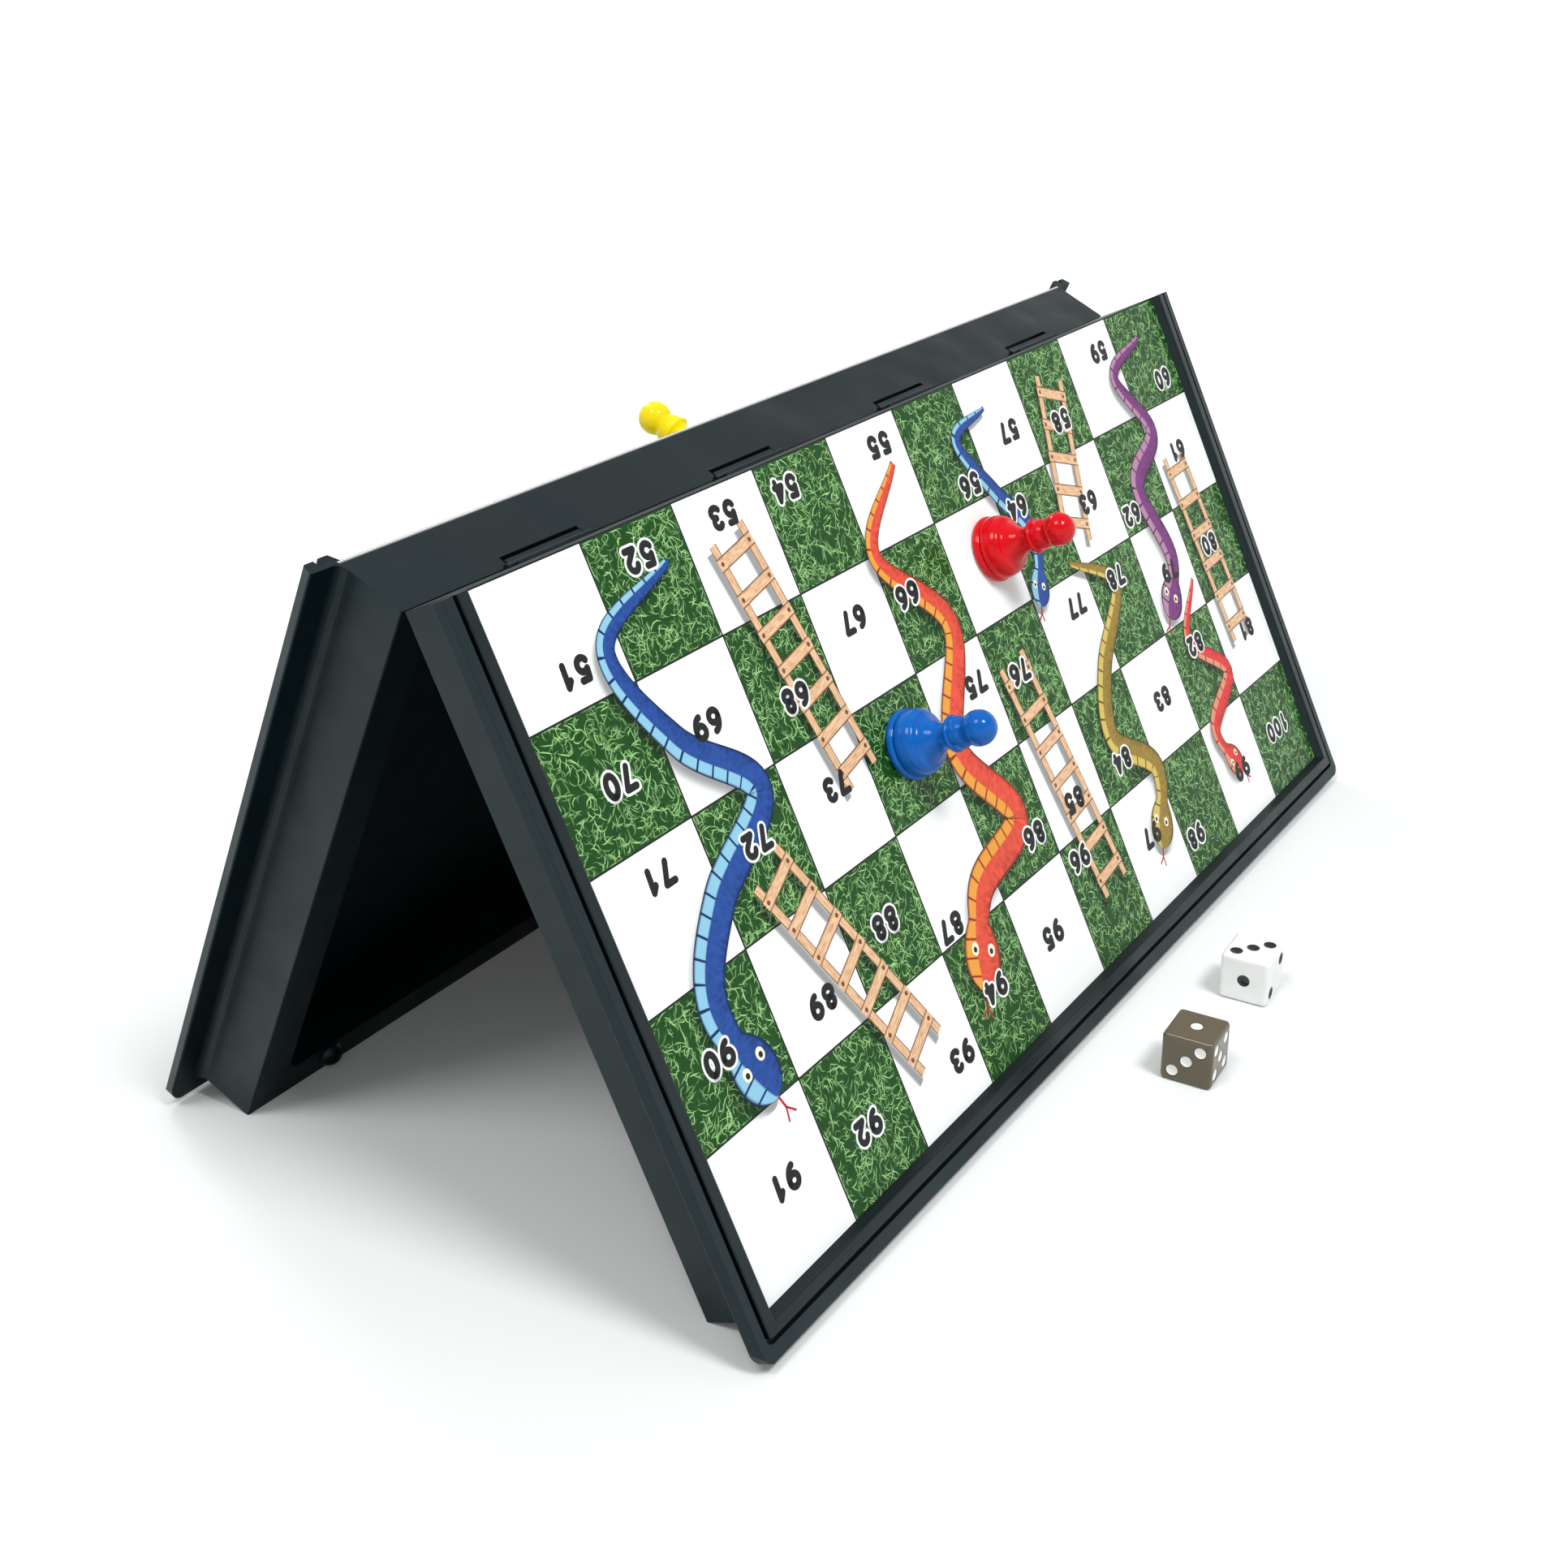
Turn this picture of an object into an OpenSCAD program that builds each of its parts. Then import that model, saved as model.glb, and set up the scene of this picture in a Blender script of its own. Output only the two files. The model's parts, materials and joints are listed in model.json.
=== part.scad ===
// Folding snakes and ladders board, standing half open as a tent, with its playing pieces.
// X runs along the hinge, Y from the front half to the back half, Z up from the table.
// The origin lies on the table, straight under the middle of the hinge line.
// A half is modelled lying on its rim: x along the hinge, y away from the hinge line, z from
// the rim up to the printed face.

/* [Playing field] */
// Side of one square
cell = 23; // [20:0.5:28]
// Squares along the hinge
columns = 10; // [8:1:12]
// Rows of squares on each half
rows = 5; // [4:1:6]
// Hinge line to the first row of squares
grid_start = 0.45; // [0.4:0.05:1]
// Angle between the two halves as they stand
fold_angle = 50.6; // [30:0.2:80]

/* [Half case] */
// Depth of a half, from its rim to the printed face
case_depth = 13.6; // [12:0.2:20]
// Reach of the end walls past the squares, at the rim
end_reach = 2.9; // [2.5:0.1:4]
// Reach of the far wall past the squares, at the rim
far_reach = 4.3; // [3:0.1:5]
// Outward lean of the walls over their height
wall_lean = 0.2; // [0:0.05:0.5]
// Wall of the moulding
wall = 2; // [1.8:0.1:2.4]
// Flat rim along the ends and the hinge
rim_w = 7.6; // [7:0.1:10]
// Flat rim along the far side
far_rim_w = 7; // [6.5:0.1:10]
// Tray floor under the steel sheet
deck = 1.8; // [1.2:0.1:2.5]
// Inside corner radius of the tray
tray_corner = 3; // [1:0.5:8]
// Gap between the two rims of the closed case
rim_gap = 0.3; // [0.2:0.05:0.6]
// Rounding of the rim and lip edges
edge_r = 0.4; // [0.2:0.05:0.6]

/* [Lip] */
// Reach of the lip past the squares, at the ends
end_lip = 9; // [8:0.1:12]
// Reach of the lip past the squares, at the far side
far_lip = 9.6; // [8.6:0.1:12]
// Lip's underside below the printed face
lip_drop = 0.6; // [0.3:0.1:1.5]
// Lip's top above the printed face
lip_rise = 1.6; // [1.4:0.1:2.5]
// Inward lean of the lip's outer face
lip_lean = 0.35; // [0:0.05:0.6]
// Corner radius of the lip
lip_corner = 4.2; // [3:0.1:5]
// Spread of the cove under the lip
cove_reach = 1.5; // [0.5:0.1:2.5]
// Height of the cove under the lip
cove_rise = 2.5; // [1:0.1:4]

/* [Clamp frame] */
// Inner edge of the frame past the squares, on the printed face
frame_inner = 2.6; // [2:0.1:2.8]
// Lean of the frame's inner face
frame_lean = 0.8; // [0.2:0.1:1]
// Outer edge of the frame past the squares
frame_outer = 5.75; // [5:0.05:6]
// Top of the frame above the printed face
frame_rise = 1.8; // [1.5:0.1:2.5]
// Seat of the frame above the printed face
seat_rise = 0.6; // [0.4:0.1:0.8]
// Rounding of the frame's top edges
frame_edge = 0.35; // [0.2:0.05:0.5]
// Groove between the frame and the lip
groove_w = 0.8; // [0.4:0.1:1]
// Outside corner radius of the frame
frame_corner = 0.6; // [0.4:0.1:1.5]

/* [Sheets] */
// Thickness of the steel sheet that the magnets hold to
steel_t = 0.4; // [0.3:0.05:0.6]
// Thickness of the printed sheet
print_t = 0.2; // [0.1:0.05:0.3]
// Reach of the sheets past the squares
sheet_over = 3.2; // [3:0.05:3.6]
// Corner radius of the sheets
sheet_corner = 1; // [0.5:0.1:2]
// Play round the sheets and the frame's foot
sheet_clear = 0.1; // [0.05:0.05:0.2]

/* [Hinge] */
// Radius of the hinge bead across each window of the back half
bead_r = 0.6; // [0.55:0.05:0.7]
// Run of the bead into the ends of its window
bead_seat = 1; // [0.6:0.1:2]
// Running clearance between a hook and the bead
hook_clear = 0.05; // [0.03:0.01:0.06]
// Thickness of a hook
hook_wall = 1; // [0.8:0.05:1.1]
// How far a hook reaches round the bead from the rim
hook_wrap = 138; // [134:1:142]
// Length of a window in the back hinge wall
window_w = 18.9; // [14:0.1:22]
// Radius of a window round the hinge line
window_r = 2.55; // [2.5:0.05:2.7]
// Middle of the outer windows from the tray's ends
window_end = 34.4; // [20:0.2:36]
// Shift of all the windows from the middle, along the hinge
window_shift = -1.2; // [-2:0.1:2]
// Number of hooks and windows
windows = 4; // [2:1:4]
// Relief of the front rim along the hinge
relief_w = 3; // [2.8:0.1:4]
// Depth of that relief
relief_d = 0.3; // [0.1:0.05:0.4]

/* [Snap knobs] */
// Radius of a snap knob
knob_r = 2.6; // [2:0.1:2.8]
// Height of a snap knob
knob_rise = 2; // [1.5:0.1:2.1]
// Middle of a knob from the tray's end
knob_end = 19.2; // [15:0.2:30]
// Middle of a knob from the far rim edge
knob_in = 3.5; // [3:0.1:4.5]
// Play of a knob in its socket
knob_clear = 0.25; // [0.2:0.05:0.4]

/* [Pawns] */
// Height of a pawn
pawn_h = 19.6; // [18:0.2:24]
// Radius of the foot ring
foot_r = 6.6; // [6:0.1:8]
// Height of the foot ring
foot_h = 1.9; // [1.4:0.1:2.2]
// Widest radius of the bell above the foot
bell_r = 6.3; // [5.6:0.1:6.5]
// Radius at the top of the bell
bell_top_r = 4.75; // [4.6:0.05:5]
// Height of the bell
bell_h = 3.6; // [3:0.1:4.2]
// Radius where the stem leaves the bell
stem_r = 4.4; // [4:0.1:4.5]
// Radius of the waist
waist_r = 2.35; // [2:0.05:2.8]
// Height of the waist above the table side
waist_z = 9.9; // [9:0.1:10.5]
// Radius of the collar
collar_r = 3.5; // [3.2:0.1:4]
// Half height of the collar
collar_half = 0.9; // [0.6:0.1:1.1]
// Radius of the head
head_r = 3.3; // [3:0.1:3.6]
// Radius of the magnet
magnet_r = 4; // [3:0.1:4.4]
// Thickness of the magnet
magnet_t = 2; // [1:0.1:3]
// Play of the magnet in its pocket
magnet_clear = 0.1; // [0.05:0.05:0.2]

/* [Dice] */
// Side of a die
die = 10; // [8:0.5:16]
// Rounding of a die's edges
die_edge = 0.9; // [0.4:0.1:1.5]
// Diameter of a pip
pip_d = 2.5; // [1.5:0.1:2.6]
// Depth of a pip
pip_depth = 0.45; // [0.2:0.05:0.8]
// Middle of an outer pip from the middle of its face
pip_pitch = 2.6; // [2:0.1:2.7]
// Turn of the dice on the table
die_turn = 3.5; // [-30:0.5:30]
// White die along the hinge direction
white_x = 19.1; // [10:0.1:60]
// White die in front of the front rim
white_out = 34.8; // [28:0.1:80]
// Brown die along the hinge direction
brown_x = -13.4; // [-60:0.1:-10]
// Brown die in front of the front rim
brown_out = 36.7; // [28:0.1:80]

/* [Hidden] */
$fn = 64;
// Steps of a rounded corner, of a cove and of a turned curve
arc_steps = 6;
// Run of every cut past the face that it opens
overrun = 0.5;
// Play of the hooks between the ends of their windows, and of the bead in its groove
hinge_play = 0.3;
// Where a hook ends past the front hinge wall, which it rises from
hook_root = 100;
// Gap between a standing pawn and the printed face
seat_gap = 0.05;
// Places of the pawns: share of the field along the hinge, share away from the hinge
red_place_shares = [0.565, 0.286];
blue_place_shares = [0.354, 0.489];
yellow_place_shares = [0.438, 0.114];
// Pips on the top, bottom, front, back, left and right faces, and how their rows slant
white_pips = [3, 4, 2, 5, 1, 6];
white_slants = [-1, 1, 1, 1, 1, 1];
brown_pips = [1, 6, 5, 2, 3, 4];
brown_slants = [1, 1, 1, 1, -1, 1];
face_turns = [[0, 0, 0], [180, 0, 0], [90, 0, 0], [-90, 0, 0], [0, -90, 0], [0, 90, 0]];

lean = fold_angle / 2;
grid_w = columns * cell;
grid_d = rows * cell;
grid_end = grid_start + grid_d;
// The rim and the hinge wall each stand half a gap back from the hinge line
rim_z = rim_gap / 2;
hinge_y = rim_gap / 2;
sheet_y = hinge_y + edge_r / 4;
end_rim = grid_w / 2 + end_reach;
far_rim = grid_end + far_reach;
deck_z = case_depth - print_t - steel_t;
lip_z = case_depth - lip_drop;
lip_top = case_depth + lip_rise;
seat_z = case_depth + seat_rise;
frame_top = case_depth + frame_rise;
tray_z = deck_z - deck;
hook_len = window_w - 2 * hinge_play;
bead_len = window_w + 2 * bead_seat;
window_pitch = (2 * end_rim - 2 * window_end) / (windows - 1);
// Height of the hinge line above the table, from the lowest of the far rim edge and the lip
rim_stand = (far_rim - edge_r) * cos(lean) - (rim_z + edge_r) * sin(lean) + edge_r;
lip_stand = (grid_end + far_lip - edge_r) * cos(lean) - (lip_z + edge_r) * sin(lean) + edge_r;
hinge_z = max(rim_stand, lip_stand);
foot_y = far_rim * sin(lean) + rim_z * cos(lean);
// Ball that sinks a pip of the stated width and depth
pip_ball = (pow(pip_d / 2, 2) + pow(pip_depth, 2)) / (2 * pip_depth);

// Points of an arc of radius r about c, from angle a to angle b
function arc(c, r, a, b) = [
    for (i = [0:arc_steps])
        let (t = a + (b - a) * i / arc_steps)
            c + r * [cos(t), sin(t)]
];

// Outline in plan: square corners on the hinge side where near is zero, round ones on the far side
function plan_points(half, y0, y1, near, far) = concat(
    near > 0 ? arc([half - near, y0 + near], near, -90, 0) : [[half, y0]],
    arc([half - far, y1 - far], far, 0, 90),
    arc([far - half, y1 - far], far, 90, 180),
    near > 0 ? arc([near - half, y0 + near], near, 180, 270) : [[-half, y0]]
);

// Outside of a half, from the rim up: rim edge, leaning wall, cove and lip
function shell_points(reach, lip) = concat(
    arc([reach - edge_r, rim_z + edge_r], edge_r, -90, 0),
    [
        for (i = [0:arc_steps])
            let (t = 90 * i / arc_steps)
                [reach + wall_lean + cove_reach * (1 - cos(t)), lip_z - cove_rise * (1 - sin(t))]
    ],
    arc([lip - edge_r, lip_z + edge_r], edge_r, -90, 0),
    arc([lip - lip_lean - edge_r, lip_top - edge_r], edge_r, 0, 90)
);

// Opening inside the clamp frame: its leaning face and rounded top edge
function opening_points() = concat(
    [[frame_inner, case_depth - overrun], [frame_inner, case_depth]],
    arc([frame_inner + frame_lean + frame_edge, frame_top - frame_edge], frame_edge, 180, 90),
    [[frame_inner + frame_lean + frame_edge, frame_top + overrun]]
);

// Pips of a face, as places from -1 to 1; slant turns the rows of two and three
function pip_places(count, slant) = concat(
    count % 2 == 1 ? [[0, 0]] : [],
    count > 1 ? [[-1, -slant], [1, slant]] : [],
    count > 3 ? [[-1, slant], [1, -slant]] : [],
    count > 5 ? [[-1, 0], [1, 0]] : []
);

module at_back() {
    translate([0, 0, hinge_z]) rotate([lean - 90, 0, 0]) children();
}

module at_front() {
    mirror([0, 1, 0]) at_back() children();
}

// Solid whose outline past the squares is given by points, from y0 to the far side
module tub(end_points, far_points, y0) {
    last = len(end_points) - 1;
    ends = concat(
        [for (p = end_points) [grid_w / 2 + p.x, p.y]],
        [for (i = [last:-1:0]) [-grid_w / 2 - end_points[i].x, end_points[i].y]]
    );
    side = concat(
        [[y0, far_points[0].y]],
        [for (p = far_points) [grid_end + p.x, p.y]],
        [[y0, far_points[len(far_points) - 1].y]]
    );
    reach_y = grid_end + 2 * far_lip;
    reach_x = grid_w / 2 + 2 * end_lip;
    intersection() {
        translate([0, reach_y, 0]) rotate([90, 0, 0]) linear_extrude(reach_y - y0) polygon(ends);
        translate([-reach_x, 0, 0]) rotate([90, 0, 90]) linear_extrude(2 * reach_x) polygon(side);
    }
}

module prism(z0, z1, half, y0, y1, near, far) {
    translate([0, 0, z0]) linear_extrude(z1 - z0) polygon(plan_points(half, y0, y1, near, far));
}

// Cut open towards the hinge and upwards, reaching over past the squares
module let_in(z0, over, corner) {
    prism(z0, frame_top + overrun, grid_w / 2 + over, -overrun, grid_end + over, 0, corner);
}

// Round bar of radius r on the hinge line
module on_hinge_line(r, length) {
    rotate([0, 90, 0]) cylinder(r = r, h = length, center = true);
}

module at_windows() {
    for (i = [0:windows - 1])
        translate([(i - (windows - 1) / 2) * window_pitch + window_shift, 0, 0]) children();
}

module at_knobs() {
    for (side = [-1, 1])
        translate([side * (end_rim - knob_end), far_rim - knob_in, rim_z]) children();
}

// Moulded half: rim, tray, hollow walls round the tray, and the stepped lip for sheets and frame
module half_shell() {
    tray_x = end_rim - rim_w;
    tray_y0 = hinge_y + rim_w;
    tray_y1 = far_rim - far_rim_w;
    difference() {
        intersection() {
            tub(shell_points(end_reach, end_lip), shell_points(far_reach, far_lip), hinge_y);
            prism(0, frame_top, grid_w / 2 + end_lip, 0, grid_end + far_lip, 0, lip_corner);
        }
        prism(rim_z - overrun, tray_z, tray_x, tray_y0, tray_y1, tray_corner, tray_corner);
        difference() {
            prism(rim_z + wall, deck_z + overrun, end_rim - wall, hinge_y + wall, far_rim - wall,
                tray_corner, tray_corner);
            prism(rim_z, frame_top, tray_x + wall, tray_y0 - wall, tray_y1 + wall,
                tray_corner + wall, tray_corner + wall);
        }
        let_in(deck_z, sheet_over + sheet_clear, sheet_corner + sheet_clear);
        let_in(seat_z, frame_outer + groove_w, frame_corner + groove_w);
    }
}

// Hook that grips the bead from the rim side, with its end level with the back hinge wall
module hook() {
    translate([-hook_len / 2, 0, 0]) rotate([90, 0, 90]) rotate([0, 0, -hook_wrap])
        rotate_extrude(angle = hook_wrap + hook_root)
            translate([bead_r + hook_clear, 0]) square([hook_wall, hook_len]);
}

module front_shell() {
    color("#262c30") at_front() {
        difference() {
            half_shell();
            at_windows() on_hinge_line(bead_r + hinge_play, bead_len + 2 * hinge_play);
            translate([-grid_w, -overrun, -overrun])
                cube([2 * grid_w, relief_w + overrun, rim_z + relief_d + overrun]);
            at_knobs() translate([0, 0, -overrun])
                cylinder(r = knob_r + knob_clear, h = wall + 2 * overrun);
        }
        at_windows() hook();
    }
}

module back_shell() {
    color("#262c30") at_back() {
        difference() {
            half_shell();
            at_windows() on_hinge_line(window_r, window_w);
        }
        at_windows() on_hinge_line(bead_r, bead_len);
        at_knobs() intersection() {
            translate([0, 0, knob_r - knob_rise]) sphere(r = knob_r);
            translate([0, 0, -knob_r]) cylinder(r = knob_r, h = knob_r + wall / 2);
        }
    }
}

module sheet(z0, thickness) {
    prism(z0, z0 + thickness, grid_w / 2 + sheet_over, sheet_y, grid_end + sheet_over, 0, sheet_corner);
}

module front_steel_sheet() {
    color("silver") at_front() sheet(deck_z, steel_t);
}

module back_steel_sheet() {
    color("silver") at_back() sheet(deck_z, steel_t);
}

module front_print_sheet() {
    color("white") at_front() sheet(deck_z + steel_t, print_t);
}

module back_print_sheet() {
    color("white") at_back() sheet(deck_z + steel_t, print_t);
}

// Three-sided frame on the seat of the lip; its foot holds down the edge of the sheets
module clamp_frame() {
    body = concat(
        [[frame_outer, seat_z]],
        arc([frame_outer - frame_edge, frame_top - frame_edge], frame_edge, 0, 90)
    );
    foot = [[sheet_over, case_depth], [sheet_over, frame_top - frame_edge]];
    difference() {
        union() {
            intersection() {
                tub(body, body, hinge_y);
                prism(0, frame_top + overrun, grid_w / 2 + frame_outer, 0, grid_end + frame_outer,
                    0, frame_corner);
            }
            intersection() {
                tub(foot, foot, hinge_y);
                prism(0, frame_top + overrun, grid_w / 2 + sheet_over, 0, grid_end + sheet_over,
                    0, sheet_corner);
            }
        }
        tub(opening_points(), opening_points(), -overrun);
    }
}

module front_clamp_frame() {
    color("#1c2124") at_front() clamp_frame();
}

module back_clamp_frame() {
    color("#1c2124") at_back() clamp_frame();
}

module at_place(shares) {
    translate([(shares.x - 1 / 2) * grid_w, grid_start + shares.y * grid_d, case_depth + seat_gap])
        children();
}

// Turned pawn: foot ring, bell, stem, collar and head, with a pocket for the magnet underneath
module pawn() {
    bell_z = foot_h + bell_h;
    collar_z = waist_z + 2 * collar_half;
    foot_ring = arc([foot_r - foot_h / 2, foot_h / 2], foot_h / 2, -90, 90);
    bell = [
        for (i = [0:arc_steps])
            let (t = 90 * i / arc_steps)
                [bell_top_r + (bell_r - bell_top_r) * cos(t), foot_h + bell_h * sin(t)]
    ];
    stem = [
        for (i = [0:arc_steps])
            let (u = i / arc_steps)
                [waist_r + (stem_r - waist_r) * pow(1 - u, 2), bell_z + (waist_z - bell_z) * u]
    ];
    collar = arc([collar_r - collar_half, collar_z], collar_half, -90, 90);
    difference() {
        union() {
            rotate_extrude() polygon(concat([[0, 0]], foot_ring, bell, stem, collar,
                [[waist_r, collar_z + collar_half], [waist_r, pawn_h - head_r], [0, pawn_h - head_r]]));
            translate([0, 0, pawn_h - head_r]) sphere(r = head_r);
        }
        translate([0, 0, -overrun])
            cylinder(r = magnet_r + magnet_clear, h = overrun + magnet_t + magnet_clear);
    }
}

module magnet() {
    translate([0, 0, magnet_clear]) cylinder(r = magnet_r, h = magnet_t);
}

module pawn_red() {
    color("#c4161c") at_front() at_place(red_place_shares) pawn();
}

module pawn_blue() {
    color("#1d5fb4") at_front() at_place(blue_place_shares) pawn();
}

module pawn_yellow() {
    color("#f2cf12") at_back() at_place(yellow_place_shares) pawn();
}

module pawn_red_magnet() {
    color("#3a3a3c") at_front() at_place(red_place_shares) magnet();
}

module pawn_blue_magnet() {
    color("#3a3a3c") at_front() at_place(blue_place_shares) magnet();
}

module pawn_yellow_magnet() {
    color("#3a3a3c") at_back() at_place(yellow_place_shares) magnet();
}

// Bar through the die's middle with a rounded square section
module rounded_bar(outline, turn) {
    rotate(turn) translate([0, 0, -die / 2]) linear_extrude(die) polygon(outline);
}

// Cube with rounded edges and corners, and a sunk pip at each place
module dice_body(counts, slants) {
    inner = die / 2 - die_edge;
    outline = concat(
        arc([inner, inner], die_edge, 0, 90), arc([-inner, inner], die_edge, 90, 180),
        arc([-inner, -inner], die_edge, 180, 270), arc([inner, -inner], die_edge, 270, 360)
    );
    difference() {
        intersection() {
            rounded_bar(outline, [0, 0, 0]);
            rounded_bar(outline, [90, 0, 0]);
            rounded_bar(outline, [0, 90, 0]);
            sphere(r = sqrt(3) * inner + die_edge);
        }
        for (f = [0:len(counts) - 1])
            rotate(face_turns[f])
                for (p = pip_places(counts[f], slants[f]))
                    translate([p.x * pip_pitch, p.y * pip_pitch, die / 2 + pip_ball - pip_depth])
                        sphere(r = pip_ball);
    }
}

module on_table(x, out) {
    translate([x, -foot_y - out, die / 2]) rotate([0, 0, die_turn]) children();
}

module die_white() {
    color("ivory") on_table(white_x, white_out) dice_body(white_pips, white_slants);
}

module die_brown() {
    color("#5d4f47") on_table(brown_x, brown_out) dice_body(brown_pips, brown_slants);
}

front_shell();
back_shell();
front_steel_sheet();
back_steel_sheet();
front_print_sheet();
back_print_sheet();
front_clamp_frame();
back_clamp_frame();
pawn_red();
pawn_blue();
pawn_yellow();
pawn_red_magnet();
pawn_blue_magnet();
pawn_yellow_magnet();
die_white();
die_brown();
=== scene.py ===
import json

import bmesh
import bpy
import numpy as np
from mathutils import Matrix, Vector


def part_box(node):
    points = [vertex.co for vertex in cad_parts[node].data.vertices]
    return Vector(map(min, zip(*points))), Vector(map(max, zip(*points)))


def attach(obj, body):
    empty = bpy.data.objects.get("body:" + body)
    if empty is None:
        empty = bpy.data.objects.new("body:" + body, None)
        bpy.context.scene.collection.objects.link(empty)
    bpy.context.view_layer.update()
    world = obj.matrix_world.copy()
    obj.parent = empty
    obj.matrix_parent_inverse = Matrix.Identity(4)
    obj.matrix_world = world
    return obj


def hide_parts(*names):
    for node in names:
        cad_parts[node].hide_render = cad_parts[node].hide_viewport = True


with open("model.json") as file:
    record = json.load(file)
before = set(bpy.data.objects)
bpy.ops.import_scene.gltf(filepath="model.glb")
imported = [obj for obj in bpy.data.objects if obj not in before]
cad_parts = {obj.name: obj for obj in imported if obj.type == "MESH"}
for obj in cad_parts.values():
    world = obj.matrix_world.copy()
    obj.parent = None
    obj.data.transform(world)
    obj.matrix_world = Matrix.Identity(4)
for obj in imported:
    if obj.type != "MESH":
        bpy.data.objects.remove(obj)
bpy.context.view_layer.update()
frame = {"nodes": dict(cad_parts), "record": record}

# Half cases: the two hinged halves of the travel case, injection moulded in near-black plastic.
# The mould is spark finished, so broad outer faces are satin, and its core, which forms the
# tray and the rim, is left duller. The front half's hooks snap over the bead of the back half.
CASE_DARK = (0.0014, 0.0055, 0.0072, 1)
CASE_PALE = (0.0028, 0.0085, 0.0108, 1)
CASE_ROUGH = (0.36, 0.46)
CASE_GRAIN = 0.00025
PLASTIC_SHEEN = (0.76, 0.96, 1.0, 1)
PLASTIC_GLOSS = 0.34
PLASTIC_CLOUDS = 38
PLASTIC_DRIFTS = 160
CORE_GLOSS = 0.06
CORE_FACING = (0.3, 0.7)
SINK_WIDE = 0.022
SINK_DEEP = 0.0012
GRAIN_STRENGTH = 0.25
GRAIN_SLOPE = 0.1
NOISE_BAND = (0.3, 0.7)
joint = {j["name"]: j for j in frame["record"]["behaviour"]["joints"]}
outward_y, outward_z = joint["pawn_yellow_lift"]["axis"][1:]


def start_material(name):
    """A new node material: returns it, its shader, a function that adds a node to it, and one that
    links or sets a socket. The added node takes its settings by name and its sockets by key."""
    material = bpy.data.materials.new(name)
    material.use_nodes = True
    tree = material.node_tree

    def add(kind, sockets, **settings):
        made = tree.nodes.new("ShaderNode" + kind)
        for key, value in settings.items():
            setattr(made, key, value)
        for key, value in sockets.items():
            plug(made.inputs[key], value)
        return made

    def plug(socket, value):
        if isinstance(value, bpy.types.NodeSocket):
            tree.links.new(value, socket)
        else:
            socket.default_value = value

    return material, tree.nodes["Principled BSDF"], add, plug


def cloudy(add, per_metre, **more):
    """Noise on the piece's own coordinates, with the given number of waves to the metre."""
    spot = add("TexCoord", {}).outputs["Object"]
    return add("TexNoise", {"Vector": spot, "Scale": per_metre, **more}).outputs[0]


def mixed(add, share, first, second):
    """A colour between two others: the share of the second is a value or a link."""
    return add("Mix", {0: share, 6: first, 7: second}, data_type="RGBA").outputs[2]


def spread(add, value, source, target=(0, 1), **settings):
    """A value carried from one range over to another, and held at both ends."""
    return add("MapRange", {0: value, 1: source[0], 2: source[1], 3: target[0], 4: target[1]},
               **settings).outputs[0]


def moulded_plastic(name, dark, pale, rough, grain, inward=(0, 0, 0)):
    """Moulded plastic: cloudy colour between dark and pale, roughness that drifts between two
    values, wide shallow sink marks, and a spark-finish grain of the given size in metres as bump.
    Faces turned the inward way are duller."""
    material, shader, add, plug = start_material(name)
    cloud = cloudy(add, PLASTIC_CLOUDS, Detail=4, Roughness=0.6)
    plug(shader.inputs["Base Color"], mixed(add, cloud, dark, pale))
    drift = cloudy(add, PLASTIC_DRIFTS, Detail=3)
    plug(shader.inputs["Roughness"], spread(add, drift, NOISE_BAND, rough))
    waves = cloudy(add, 1 / SINK_WIDE, Detail=1)
    sink = add("Bump", {"Height": waves, "Strength": 1, "Distance": SINK_DEEP})
    sparks = cloudy(add, 1 / grain, Detail=2)
    skin = add("Bump", {"Height": sparks, "Strength": GRAIN_STRENGTH, "Distance": grain * GRAIN_SLOPE,
                        "Normal": sink.outputs[0]})
    plug(shader.inputs["Normal"], skin.outputs[0])
    turned_to = add("TexCoord", {}).outputs["Normal"]
    facing = add("VectorMath", {0: turned_to, 1: inward}, operation="DOT_PRODUCT").outputs["Value"]
    gloss = spread(add, facing, CORE_FACING, (PLASTIC_GLOSS, CORE_GLOSS))
    plug(shader.inputs["Specular IOR Level"], gloss)
    shader.inputs["Specular Tint"].default_value = PLASTIC_SHEEN
    return material


def finish_node(node, material):
    """Gives a CAD node's object one material in place of its own."""
    mesh = frame["nodes"][node].data
    mesh.materials.clear()
    mesh.materials.append(material)


for half, side in (("front", -1), ("back", 1)):
    inward = (0, -side * outward_y, -outward_z)
    plastic = moulded_plastic(half + "_case_plastic", CASE_DARK, CASE_PALE, CASE_ROUGH, CASE_GRAIN, inward)
    finish_node(half + "_shell", plastic)

# Steel sheets: thin cold-rolled steel under the print, which the pawns' magnets hold to.
# They lie on the deck of each half and show only as an edge along the hinge.
STEEL_GREY = (0.42, 0.43, 0.44, 1)
STEEL_PALE = (0.55, 0.56, 0.57, 1)
STEEL_ROUGH = (0.28, 0.42)
STREAKS = (12, 900, 900)


def rolled_steel():
    """Steel with faint rolling streaks: noise stretched along the hinge drives tone and gloss."""
    material, shader, add, plug = start_material("rolled_steel")
    spot = add("TexCoord", {}).outputs["Object"]
    stretched = add("Mapping", {"Vector": spot, "Scale": STREAKS}).outputs[0]
    streak = add("TexNoise", {"Vector": stretched, "Scale": 1, "Detail": 3}).outputs[0]
    plug(shader.inputs["Base Color"], mixed(add, streak, STEEL_GREY, STEEL_PALE))
    plug(shader.inputs["Roughness"], spread(add, streak, (0, 1), STEEL_ROUGH))
    shader.inputs["Metallic"].default_value = 1
    return material


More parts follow.
